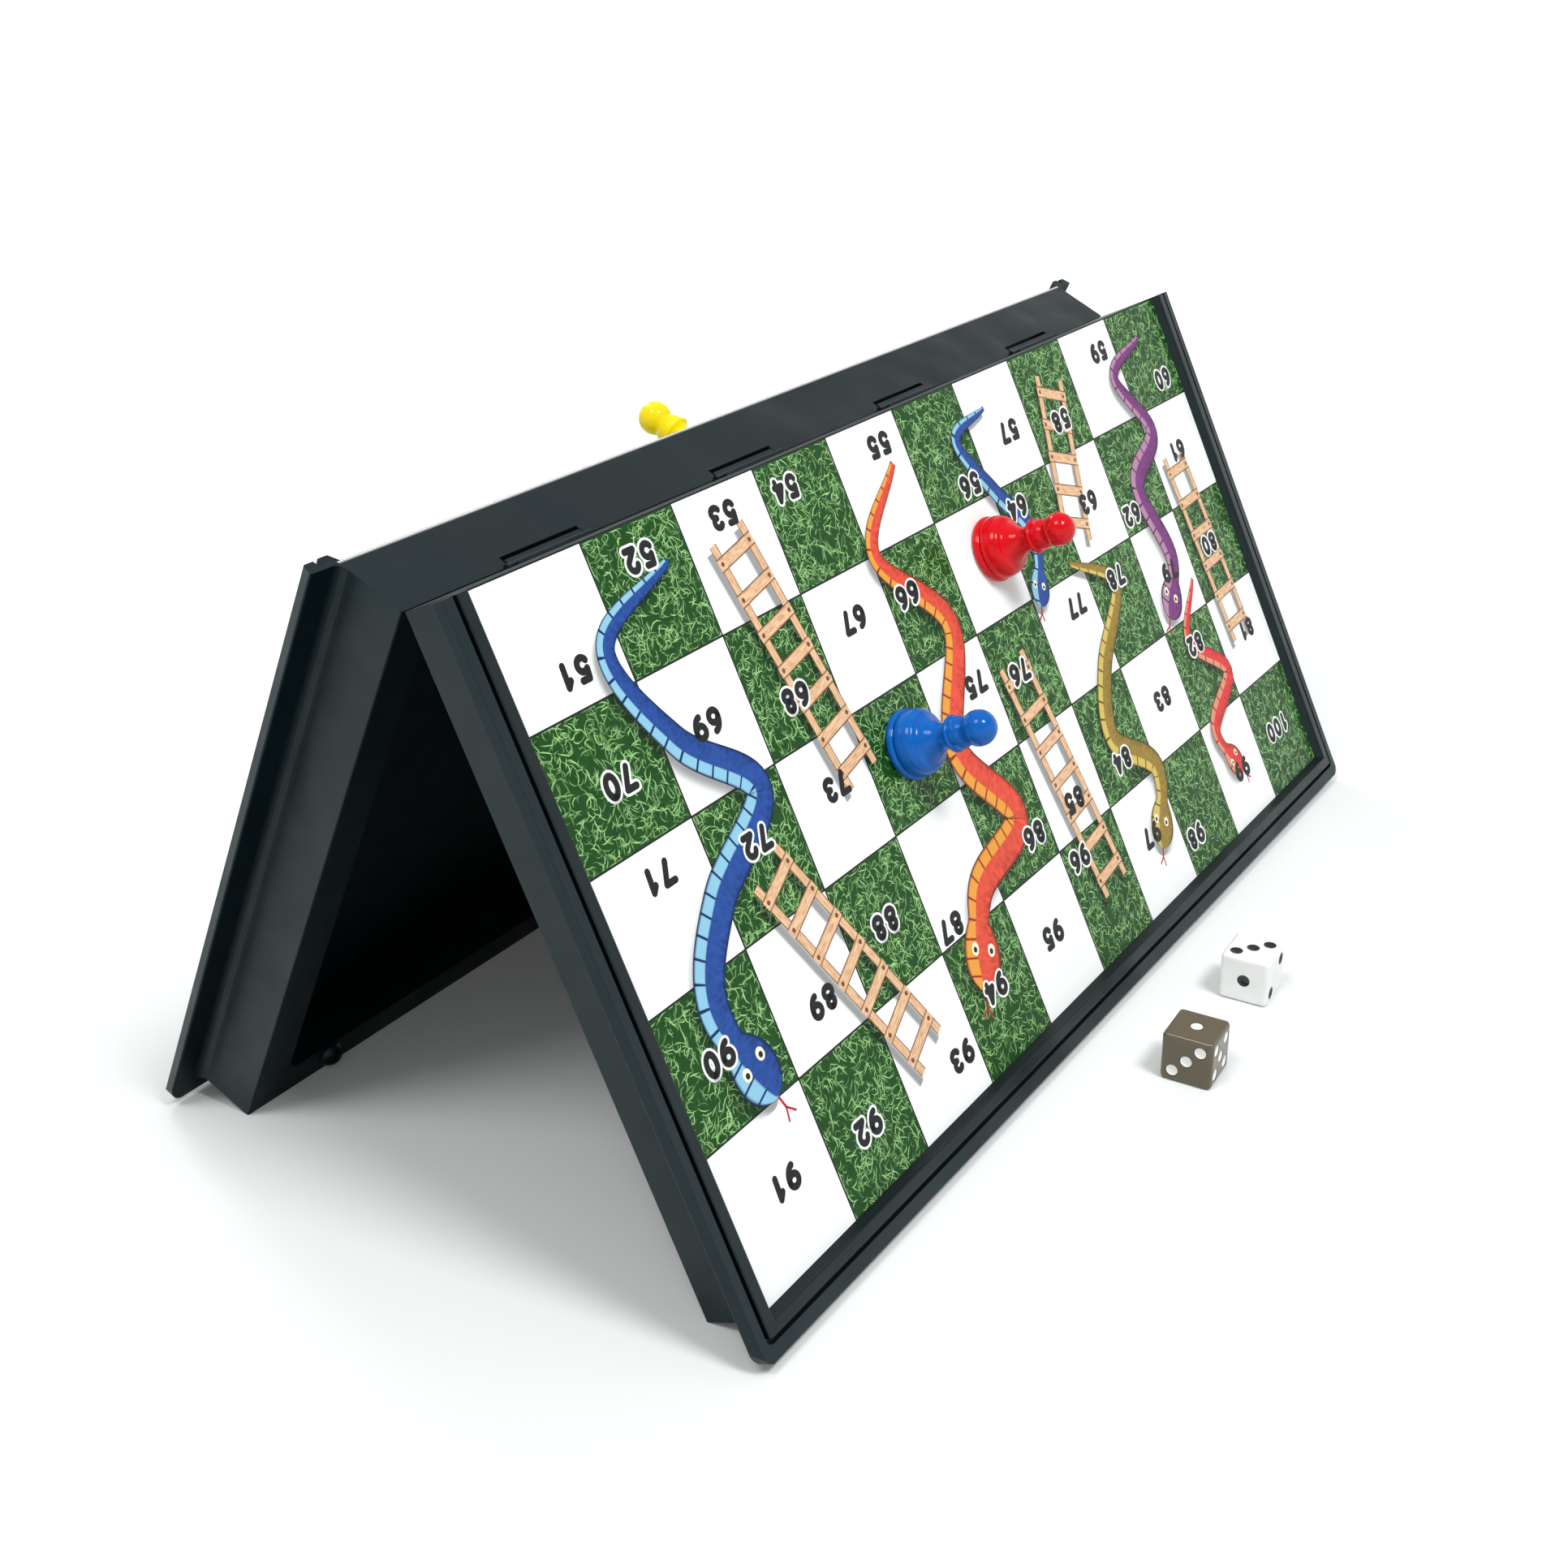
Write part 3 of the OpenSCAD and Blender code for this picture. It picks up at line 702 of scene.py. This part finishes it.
def snake_ink(name, back, belly):
    """Snake colours: the run across splits back from belly, dark bands cross the belly at even
    lengths, small scales mottle the back, a lighter ridge follows the middle, and the outline is
    drawn dark."""
    material, shader, add, plug = start_material(name)
    along, across, _ = film_run(add)
    scale_at = add("CombineXYZ", {0: along, 1: worked(add, "MULTIPLY", across, SCALE_STRETCH)})
    scales = add("TexVoronoi", {"Vector": scale_at.outputs[0], "Scale": SCALES}).outputs["Distance"]
    dim = shaded(back, DIM_SHARE)
    lit = tuple(min(1, LIT_GAIN * v + LIT_LIFT) for v in back[:3]) + (1,)
    light = spread(add, across, RIDGE_BAND, (0, RIDGE_SHARE))
    ridge = mixed(add, light, mixed(add, scales, dim, lit), lit)
    in_band = worked(add, "LESS_THAN", worked(add, "MODULO", along, BAND_STEP), BAND_WIDE)
    banded = mixed(add, in_band, belly, dim)
    both = mixed(add, spread(add, across, BELLY_BAND), ridge, banded)
    rim = spread(add, worked(add, "ABSOLUTE", across), SNAKE_RIM)
    plug(shader.inputs["Base Color"], mixed(add, rim, both, shaded(back, RIM_SHARE)))
    laminate(shader)
    return material


eye_ink = laminated_ink("eye_ink", EYE_CREAM, EYE_WHITE, PLAIN_FLECK)
tongue_ink = laminated_ink("tongue_ink", TONGUE_DEEP, TONGUE_RED, PLAIN_FLECK)
snake_inks = {name: snake_ink(name + "_snake_ink", *pair) for name, pair in SNAKE_COLOURS.items()}
for half, snakes in (("front", FRONT_SNAKES), ("back", BACK_SNAKES)):
    eyes, pupils, tongues, shadows = [], [], [], []
    for count, (colour, body_half, cells) in enumerate(snakes):
        body, eye, pupil, tongue, low = snake_films(cells, body_half, SNAKE_LIFT + SNAKE_RISE * count)
        film_object(f"{half}_ink_snake_{count + 1}", half, [body], snake_inks[colour])
        eyes += eye
        pupils += pupil
        tongues += tongue
        shadows.append(low)
    film_object(half + "_ink_eyes", half, eyes, eye_ink)
    film_object(half + "_ink_pupils", half, pupils, black_ink)
    film_object(half + "_ink_tongues", half, tongues, tongue_ink)
    film_object(half + "_ink_snake_shadows", half, shadows, shadow)

# Printed numbers: black rounded figures, with a white halo where they stand on green.
# Their heads all point the same way on the opened board, so on the front half they hang down.
FIGURE_HIGH = 3.4
FIGURE_WIDE = 2.2
FIGURE_STEP = 3.95
STROKE_HALF = 0.60
HALO_HALF = 1.03
HALO_LIFT = 0.036
FIGURE_LIFT = 0.042
STROKE_RISE = 0.0003
MOST_STROKES = 3
BOW_STEPS = 22
HALO_WHITE = (0.86, 0.875, 0.865, 1)


def bow(x, y, rx, ry, start, stop):
    """Part of an ellipse about x, y from one angle to another, in degrees."""
    t = np.radians(np.linspace(start, stop, BOW_STEPS))
    return np.stack([x + rx * np.cos(t), y + ry * np.sin(t)], -1)


FIGURES = {
    "0": [bow(0.5, 0.5, 0.5, 0.5, 90, 450)],
    "1": [[(0.6, 1), (0.5, 0)], [(0.6, 1), (0.22, 0.74)]],
    "2": [bow(0.5, 0.7, 0.46, 0.3, 170, -35), [(0.88, 0.53), (0.04, 0)], [(0.04, 0), (0.98, 0)]],
    "3": [bow(0.45, 0.75, 0.43, 0.25, 150, -90), bow(0.45, 0.25, 0.5, 0.25, 90, -150)],
    "4": [[(0.72, 0), (0.72, 1)], [(0.72, 1), (0, 0.28)], [(0, 0.28), (1, 0.28)]],
    "5": [[(0.92, 1), (0.2, 1)], [(0.2, 1), (0.1, 0.55)], bow(0.45, 0.32, 0.5, 0.32, 130, -150)],
    "6": [bow(0.86, 0.34, 0.86, 0.66, 98, 180), bow(0.5, 0.3, 0.5, 0.3, 180, 540)],
    "7": [[(0, 1), (0.98, 1)], [(0.98, 1), (0.36, 0)]],
    "8": [bow(0.5, 0.76, 0.4, 0.24, 90, 450), bow(0.5, 0.26, 0.5, 0.26, 90, 450)],
    "9": [bow(0.14, 0.66, 0.86, 0.66, -82, 0), bow(0.5, 0.7, 0.5, 0.3, 0, 360)],
}
# Shares of a square, along and down, at which each number of the front half stands
FRONT_SHARES = [
    [(0.5, 0.76), (0.5, 0.25), (0.5, 0.22), (0.3, 0.23), (0.66, 0.22),
     (0.72, 0.85), (0.62, 0.58), (0.55, 0.7), (0.68, 0.27), (0.76, 0.78)],
    [(0.5, 0.54), (0.5, 0.5), (0.5, 0.66), (0.5, 0.37), (0.28, 0.41),
     (0.64, 0.44), (0.3, 0.22), (0.5, 0.5), (0.2, 0.82), (0.53, 0.5)],
    [(0.5, 0.23), (0.52, 0.41), (0.56, 0.4), (0.5, 0.5), (0.73, 0.35),
     (0.41, 0.48), (0.66, 0.27), (0.5, 0.25), (0.52, 0.5), (0.5, 0.5)],
    [(0.37, 0.51), (0.53, 0.67), (0.5, 0.5), (0.23, 0.88), (0.74, 0.73),
     (0.5, 0.72), (0.47, 0.72), (0.53, 0.5), (0.5, 0.27), (0.63, 0.48)],
    [(0.5, 0.52), (0.48, 0.65), (0.77, 0.76), (0.48, 0.53), (0.48, 0.53),
     (0.26, 0.17), (0.5, 0.48), (0.24, 0.8), (0.53, 0.62), (0.54, 0.55)],
]


def number_at(half, column, row):
    """The number of a square: rows run to and fro, counted from the back half's far row."""
    front = half == "front"
    level = ROWS + row if front else ROWS - 1 - row
    place = column if (row % 2 == 0) == front else COLUMNS - 1 - column
    return level * COLUMNS + place + 1


def number_films(half, column, row, half_width, lift):
    """The strokes of a square's number, figure by figure from its middle, heads down the front
    half and up the back half; every straight or bowed stroke has round ends."""
    text = str(number_at(half, column, row))
    share = FRONT_SHARES[row][column] if half == "front" else (0.5, 0.5)
    middle = in_field(np.add((column, row), share))
    head = np.array([-1.0, 1.0 if half == "front" else -1.0])
    films = []
    for place, figure in enumerate(text):
        shift = (place - (len(text) - 1) / 2) * FIGURE_STEP
        for count, stroke in enumerate(FIGURES[figure]):
            flat = (np.asarray(stroke) - 0.5) * [FIGURE_WIDE, FIGURE_HIGH] + [shift, 0]
            path = middle + flat * head
            rise = STROKE_RISE * (count + MOST_STROKES * place)
            films.append(film(*round_ended(path, half_width), lift + rise))
    return films


halo_ink = laminated_ink("halo_ink", PAPER_SHADE, HALO_WHITE, PLAIN_FLECK)
for half in ("front", "back"):
    every = [(c, r) for r in range(ROWS) for c in range(COLUMNS)]
    halos = [f for c, r in green_squares(half) for f in number_films(half, c, r, HALO_HALF, HALO_LIFT)]
    figures = [f for c, r in every for f in number_films(half, c, r, STROKE_HALF, FIGURE_LIFT)]
    film_object(half + "_ink_halos", half, halos, halo_ink)
    film_object(half + "_ink_numbers", half, figures, black_ink)

# Clamp frames: three-sided moulded frames pressed into the lip over the edges of the sheets.
# The same near-black plastic as the cases, from a smoother mould.
FRAME_DARK = (0.0008, 0.0026, 0.0034, 1)
FRAME_PALE = (0.0018, 0.0050, 0.0064, 1)
FRAME_ROUGH = (0.30, 0.38)
FRAME_GRAIN = 0.0002
frame_plastic = moulded_plastic("frame_plastic", FRAME_DARK, FRAME_PALE, FRAME_ROUGH, FRAME_GRAIN)
for half in ("front", "back"):
    finish_node(half + "_clamp_frame", frame_plastic)

# Pawns: turned-looking pawns moulded in glossy coloured plastic, with a pocket under the foot.
# A disc magnet is glued into the pocket, so the pawn stands out square from the leaning face.
PAWN_HIGH = 19.6
FOOT_RADIUS = 6.6
FOOT_HIGH = 1.9
BELL_RADIUS = 6.3
BELL_TOP = 4.75
BELL_HIGH = 3.6
BELL_CREASE = 0.06
CROWN_DROP = 0.1
STEM_RADIUS = 4.4
WAIST_RADIUS = 2.35
WAIST_AT = 9.9
FLANGE_RADIUS = 3.45
FLANGE_AT = 11.05
FLANGE_ROUND = 0.4
NECK_GAP = 0.5
NECK_FOOT = 0.04
NECK_RADIUS = 3.1
NECK_TOP = 2.4
NECK_HIGH = 2.2
HEAD_RADIUS = 3.3
POCKET_RADIUS = 4.1
POCKET_DEEP = 2.1
POCKET_ROUND = 0.1
POCKET_EDGE = 0.08
PAWN_SEAT = 0.05
TURNS = 112
# Start, end and number of points of the profile's curves: degrees, and a share of the stem's height
CURVE_TURN = (0, 90, 14)
FOOT_TURN = (-90, 78, 20)
FLANGE_TURN = (-70, 80, 10)
STEM_SHARES = (0.03, 1, 18)
BALL_STEPS = 34
PAWN_GLOSS = 0.22
PAWN_ROUGH = (0.06, 0.10)
PAWN_CLOUDS = 220
PAWN_SHADE = 0.86
PAWN_WAVES = 500
WAVE_STRENGTH = 0.12
WAVE_DEEP = 0.0001
SCATTER_SHARE = 0.06
SCATTER_REACH = 0.001
PAWN_COLOURS = {"red": (0.62, 0.0012, 0.0060, 1),
                "blue": (0.0008, 0.104, 0.44, 1),
                "yellow": (0.88, 0.68, 0.002, 1)}
PAWN_PLACES = {"red": ("front", 0.565, 0.286),
               "blue": ("front", 0.354, 0.489),
               "yellow": ("back", 0.438, 0.114)}


def pawn_profile():
    """Radius and height round the pawn's section, from the pocket's middle to the top of the
    head: pocket, round foot ring, bell that curves in, hollow stem, thin flange, neck that
    curves in and ball head."""
    q, ring, bead = (np.radians(np.linspace(*turn)) for turn in (CURVE_TURN, FOOT_TURN, FLANGE_TURN))
    u = np.linspace(*STEM_SHARES)
    bell_top = FOOT_HIGH + BELL_HIGH
    neck_at = FLANGE_AT + NECK_GAP
    head_at = PAWN_HIGH - HEAD_RADIUS
    ball = np.linspace(-np.arccos(NECK_TOP / HEAD_RADIUS), np.pi / 2, BALL_STEPS)
    parts = [
        ([0, POCKET_RADIUS - POCKET_ROUND, POCKET_RADIUS, POCKET_RADIUS],
         [POCKET_DEEP, POCKET_DEEP, POCKET_DEEP - POCKET_ROUND, POCKET_EDGE]),
        ([POCKET_RADIUS + POCKET_EDGE], [0]),
        (FOOT_RADIUS - FOOT_HIGH / 2 + FOOT_HIGH / 2 * np.cos(ring), FOOT_HIGH / 2 * (1 + np.sin(ring))),
        (BELL_TOP + (BELL_RADIUS - BELL_TOP) * np.cos(q),
         FOOT_HIGH + BELL_CREASE + (BELL_HIGH - CROWN_DROP) * np.sin(q)),
        ([BELL_TOP - BELL_CREASE], [bell_top]),
        (WAIST_RADIUS + (STEM_RADIUS - WAIST_RADIUS) * (1 - u) ** 2, bell_top + (WAIST_AT - bell_top) * u),
        (FLANGE_RADIUS + FLANGE_ROUND * (np.cos(bead) - 1), FLANGE_AT + FLANGE_ROUND * np.sin(bead)),
        ([NECK_RADIUS - 2 * BELL_CREASE], [neck_at - BELL_CREASE]),
        (NECK_TOP + (NECK_RADIUS - NECK_TOP) * np.cos(q),
         neck_at + NECK_FOOT + (NECK_HIGH - CROWN_DROP) * np.sin(q)),
        (HEAD_RADIUS * np.cos(ball), head_at + HEAD_RADIUS * np.sin(ball)),
    ]
    return [np.concatenate(runs) for runs in zip(*parts)]


def turned(radius, height, turns):
    """A profile carried round its axis: rings of points, with the two ends of the profile closed
    to single points on the axis."""
    angle = np.arange(turns) * 2 * np.pi / turns
    rings = np.stack([radius[1:-1, None] * np.cos(angle), radius[1:-1, None] * np.sin(angle),
                      np.broadcast_to(height[1:-1, None], (len(radius) - 2, turns))], -1).reshape(-1, 3)
    points = np.concatenate([rings, [[0, 0, height[0]], [0, 0, height[-1]]]])
    i, k = np.meshgrid(np.arange(len(radius) - 3) * turns, np.arange(turns), indexing="ij")
    n = (k + 1) % turns
    quads = np.stack([i + k, i + n, i + turns + n, i + turns + k], -1).reshape(-1, 4)
    k, n = k[0], n[0]
    last = (len(radius) - 3) * turns
    first_fan = np.stack([np.full(turns, len(rings)), n, k], -1)
    last_fan = np.stack([np.full(turns, len(rings) + 1), last + k, last + n], -1)
    return points, quads.tolist() + first_fan.tolist() + last_fan.tolist()


def glossy_plastic(name, colour):
    """Glossy coloured plastic: a slight cloud in the colour, a faint waviness of the moulded
    skin, and a gloss that drifts a little."""
    material, shader, add, plug = start_material(name)
    cloud = cloudy(add, PAWN_CLOUDS, Detail=3)
    plug(shader.inputs["Base Color"], mixed(add, cloud, shaded(colour, PAWN_SHADE), colour))
    plug(shader.inputs["Roughness"], spread(add, cloud, NOISE_BAND, PAWN_ROUGH))
    waves = cloudy(add, PAWN_WAVES, Detail=1)
    skin = add("Bump", {"Height": waves, "Strength": WAVE_STRENGTH, "Distance": WAVE_DEEP})
    plug(shader.inputs["Normal"], skin.outputs[0])
    shader.inputs["Specular IOR Level"].default_value = PAWN_GLOSS
    shader.inputs["Subsurface Weight"].default_value = SCATTER_SHARE
    shader.inputs["Subsurface Radius"].default_value = colour[:3]
    shader.inputs["Subsurface Scale"].default_value = SCATTER_REACH
    return material


points, faces = turned(*pawn_profile(), TURNS)
for colour, (half, along, down) in PAWN_PLACES.items():
    foot = np.append(in_field((along * COLUMNS, down * ROWS)), PRINT_FACE + PAWN_SEAT)
    pawn = closed_mesh(colour + "_pawn_body", on_half(half, points + foot), faces,
                       glossy_plastic(colour + "_plastic", PAWN_COLOURS[colour]), smooth=True)
    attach(pawn, colour + "_pawn")
    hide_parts("pawn_" + colour)

# Magnets: sintered ferrite discs, dull dark grey, glued into the pawns' feet.
# They show only when a pawn is lifted.
FERRITE_DARK = (0.020, 0.020, 0.021, 1)
FERRITE_PALE = (0.055, 0.054, 0.053, 1)
FERRITE_ROUGH = (0.5, 0.65)
FERRITE_GRAIN = 0.0001
ferrite = moulded_plastic("ferrite", FERRITE_DARK, FERRITE_PALE, FERRITE_ROUGH, FERRITE_GRAIN)
for colour in PAWN_PLACES:
    finish_node("pawn_" + colour + "_magnet", ferrite)

# Dice: polished plastic cubes with rounded edges and sunk, painted pips.
# The white die has black pips, and the brown die white ones; a dark ring of painted shade edges each sunk
# pip.
DIE_EDGE = 0.9
PIP_DEEP = 0.4
PIP_RADIUS = 1.25
PIP_APART = 2.6
FLAT_STEPS = 84
ROUND_STEPS = 5
DIE_TURN = np.radians(3.5)
DIE_WELD = 1e-7
DIE_ROUGH = (0.12, 0.17)
DIE_CLOUDS = 300
DIE_SHADE = 0.88
PAINT_BAND = (0.86, 0.92)
PIP_SHADE_BAND = (0.99, 1.06)
# Number and slant of the pips on each face, and the colours of the body, the pips and their rims, which are
# painted shade where each sunk pip meets the face
DIE_PIPS = {"white": [(3, -1), (4, 1), (2, 1), (5, 1), (1, 1), (6, 1)],
            "brown": [(1, 1), (6, 1), (5, 1), (2, 1), (3, -1), (4, 1)]}
DIE_COLOURS = {"white": ((0.88, 0.885, 0.87, 1), (0.010, 0.010, 0.010, 1), (0.010, 0.010, 0.010, 1)),
               "brown": ((0.112, 0.088, 0.053, 1), (0.86, 0.85, 0.82, 1), (0.018, 0.013, 0.010, 1))}
# Each face's own right, up and outward directions, for the top, bottom, front, back, left and right
DIE_FACES = np.array([
    [[1, 0, 0], [0, 1, 0], [0, 0, 1]], [[1, 0, 0], [0, -1, 0], [0, 0, -1]],
    [[1, 0, 0], [0, 0, 1], [0, -1, 0]], [[1, 0, 0], [0, 0, -1], [0, 1, 0]],
    [[0, 0, 1], [0, 1, 0], [-1, 0, 0]], [[0, 0, -1], [0, 1, 0], [1, 0, 0]],
], float)


def pip_middles(count, slant):
    """Middles of a face's pips: the odd one in the middle, then pairs in opposite corners, and
    the last pair beside the middle."""
    pairs = [(-1, -slant), (1, slant), (-1, slant), (1, -slant), (-1, 0), (1, 0)]
    return PIP_APART * np.array([(0, 0)] * (count % 2) + pairs[:count - count % 2], float)


def die_face(axes, half, count, slant):
    """One face of a rounded cube on a grid: flat lines, then lines that roll over the edge to 45
    degrees. Points near a pip sink by a shallow ball. Also gives the distance to the nearest
    pip, as a share of its radius."""
    inner = half - DIE_EDGE
    flat = np.linspace(-inner, inner, FLAT_STEPS)
    roll = np.tan(np.linspace(0, np.pi / 4, ROUND_STEPS + 1)[1:])
    core = np.concatenate([np.full(ROUND_STEPS, -inner), flat, np.full(ROUND_STEPS, inner)])
    tilt = np.concatenate([-roll[::-1], np.zeros(FLAT_STEPS), roll])
    a, b = np.meshgrid(core, core, indexing="ij")
    lean = np.stack(np.meshgrid(tilt, tilt, indexing="ij") + [np.ones_like(a)], -1)
    lean /= np.linalg.norm(lean, axis=-1, keepdims=True)
    place = np.stack([a, b, np.full_like(a, inner)], -1) + DIE_EDGE * lean
    away = np.linalg.norm(place[..., None, :2] - pip_middles(count, slant), axis=-1).min(-1)
    ball = (PIP_RADIUS**2 + PIP_DEEP**2) / (2 * PIP_DEEP)
    place[..., 2] -= np.maximum(np.sqrt(np.maximum(ball**2 - away**2, 0)) - (ball - PIP_DEEP), 0)
    return place.reshape(-1, 3) @ axes, away.ravel() / PIP_RADIUS


def grid_quads(side):
    """Quads of a square grid of points, given row by row."""
    i, k = np.meshgrid(np.arange(side - 1), np.arange(side - 1), indexing="ij")
    first = i * side + k
    return np.stack([first, first + side, first + side + 1, first + 1], -1).reshape(-1, 4)


def die_plastic(name, colours):
    """Polished plastic with painted pips: the nearest pip's distance, as a share of its radius,
    picks the pip's paint, its dark rim of painted shade where the sunk pip meets the face, and
    the body; the body has a faint cloud."""
    body, paint, rim = colours
    material, shader, add, plug = start_material(name)
    cloud = cloudy(add, DIE_CLOUDS, Detail=3)
    tone = mixed(add, cloud, shaded(body, DIE_SHADE), body)
    near = add("Attribute", {}, attribute_name="pip").outputs["Fac"]
    # The dark rim is painted shade: a ring where the sunk pip's wall meets the face.
    pip_edge_shaded = mixed(add, spread(add, near, PIP_SHADE_BAND, (1, 0)), tone, rim)
    painted = mixed(add, spread(add, near, PAINT_BAND, (1, 0)), pip_edge_shaded, paint)
    plug(shader.inputs["Base Color"], painted)
    plug(shader.inputs["Roughness"], spread(add, cloud, NOISE_BAND, DIE_ROUGH))
    return material


cos, sin = np.cos(DIE_TURN), np.sin(DIE_TURN)
turn = np.array([[cos, sin, 0], [-sin, cos, 0], [0, 0, 1]])
side = FLAT_STEPS + 2 * ROUND_STEPS
first = np.arange(len(DIE_FACES))[:, None, None] * side**2
quads = (first + grid_quads(side)).reshape(-1, 4)
for colour, faces_pips in DIE_PIPS.items():
    low, high = (np.array(corner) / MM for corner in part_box("die_" + colour))
    half_side = (high[2] - low[2]) / 2
    grids = [die_face(axes, half_side, *pips) for axes, pips in zip(DIE_FACES, faces_pips)]
    points = np.concatenate([places for places, _ in grids]) @ turn + (low + high) / 2
    near = np.concatenate([away for _, away in grids])
    die = closed_mesh(colour + "_die_body", points * MM, quads.tolist(),
                      die_plastic(colour + "_dice_plastic", DIE_COLOURS[colour]),
                      [("pip", "FLOAT", near)], smooth=True, weld=DIE_WELD)
    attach(die, colour + "_die")
    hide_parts("die_" + colour)

# Studio: a pale sweep, flat under the board and curved up all round, softboxes above the front
# and behind, a wider one above the left, and a room that is paler overhead than at the sides.
SWEEP_HALF = 4.8
SWEEP_FLAT = 3.8
SWEEP_RISE = 2.2
SWEEP_STEPS = 97
FLOOR_WHITE = (0.73, 0.757, 0.752, 1)
FLOOR_ROUGH = (0.75, 0.85)
FLOOR_GLOSS = 0.1
FLOOR_CLOUDS = 3
GLOW = (0.04, 0.80)
GLOW_REACH = (0.2, 0.9)
ROOM = (0.14, 0.70)
ROOM_TOP = 0.8
# Direction from the board, distance and width in metres, and power in watts
SOFTBOXES = {"front_softbox": ((-0.12, -0.55, 0.83), 1.1, 0.30, 7.6),
             "back_softbox": ((0.30, 0.74, 0.60), 1.1, 0.34, 3.4),
             "left_softbox": ((-0.50, 0.05, 0.86), 1.3, 0.50, 5.6)}
LAMPS_AIM = (0, 0, 0.06)
CAMERA_AT = (-0.31455, -0.20298, 0.21252)
CAMERA_LOOK = (0.7776, 0.4906, -0.3933)
CAMERA_LENS = 45.7245
CAMERA_SENSOR = 36
CAMERA_NEAR = 0.01
CAMERA_SHIFT = (-0.0456, -0.0580)


def table_top():
    """Pale matt table: diffuse near the board, where it takes the shadows, and farther off a glow
    that grows with distance for the camera, for gloss and for see-through rays."""
    material, shader, add, plug = start_material("table_top")
    shader.inputs["Base Color"].default_value = FLOOR_WHITE
    shader.inputs["Specular IOR Level"].default_value = FLOOR_GLOSS
    shader.inputs["Emission Color"].default_value = (1, 1, 1, 1)
    cloud = cloudy(add, FLOOR_CLOUDS, Detail=3)
    plug(shader.inputs["Roughness"], spread(add, cloud, (0, 1), FLOOR_ROUGH))
    ray = add("LightPath", {}).outputs
    seen = worked(add, "MAXIMUM", ray["Is Camera Ray"], ray["Is Glossy Ray"])
    seen = worked(add, "MAXIMUM", seen, ray["Is Transmission Ray"])
    spot = add("TexCoord", {}).outputs["Object"]
    away = add("VectorMath", {0: spot}, operation="LENGTH").outputs["Value"]
    glow = worked(add, "MULTIPLY", seen, spread(add, away, GLOW_REACH, GLOW))
    plug(shader.inputs["Emission Strength"], glow)
    return material


def sweep():
    """A square sheet on a grid: flat in the middle, and past its flat part rising with the square
    of the distance out along either side."""
    steps = np.linspace(-SWEEP_HALF, SWEEP_HALF, SWEEP_STEPS)
    x, y = np.meshgrid(steps, steps, indexing="ij")
    z = SWEEP_RISE * (np.maximum(abs(x) - SWEEP_FLAT, 0) ** 2 + np.maximum(abs(y) - SWEEP_FLAT, 0) ** 2)
    return np.stack([x, y, z], -1).reshape(-1, 3), grid_quads(SWEEP_STEPS).tolist()


closed_mesh("table_top", *sweep(), table_top(), smooth=True)

world = bpy.data.worlds.new("pale_room")
bpy.context.scene.world = world
world.use_nodes = True
tree = world.node_tree
sky = tree.nodes["Background"]
sky.inputs["Color"].default_value = (1, 1, 1, 1)
aim = tree.nodes.new("ShaderNodeTexCoord")
height = tree.nodes.new("ShaderNodeSeparateXYZ")
level = tree.nodes.new("ShaderNodeMapRange")
level.inputs[2].default_value = ROOM_TOP
level.inputs[3].default_value, level.inputs[4].default_value = ROOM
tree.links.new(aim.outputs["Generated"], height.inputs[0])
tree.links.new(height.outputs[2], level.inputs[0])
tree.links.new(level.outputs[0], sky.inputs["Strength"])

for name, (direction, distance, size, power) in SOFTBOXES.items():
    lamp = bpy.data.lights.new(name, "AREA")
    lamp.shape = "DISK"
    lamp.size = size
    lamp.energy = power
    stand = bpy.data.objects.new(name, lamp)
    toward = np.array(direction) / np.linalg.norm(direction)
    stand.location = toward * distance + LAMPS_AIM
    stand.rotation_mode = "QUATERNION"
    stand.rotation_quaternion = Vector(toward).to_track_quat("Z", "Y")
    bpy.context.collection.objects.link(stand)

camera_data = bpy.data.cameras.new("camera")
camera_data.lens = CAMERA_LENS
camera_data.sensor_width = CAMERA_SENSOR
camera_data.shift_x, camera_data.shift_y = CAMERA_SHIFT
camera_data.clip_start = CAMERA_NEAR
camera = bpy.data.objects.new("camera", camera_data)
camera.location = CAMERA_AT
camera.rotation_mode = "QUATERNION"
camera.rotation_quaternion = Vector(CAMERA_LOOK).to_track_quat("-Z", "Y")
bpy.context.collection.objects.link(camera)
bpy.context.scene.camera = camera
bpy.context.scene.view_settings.view_transform = "Standard"
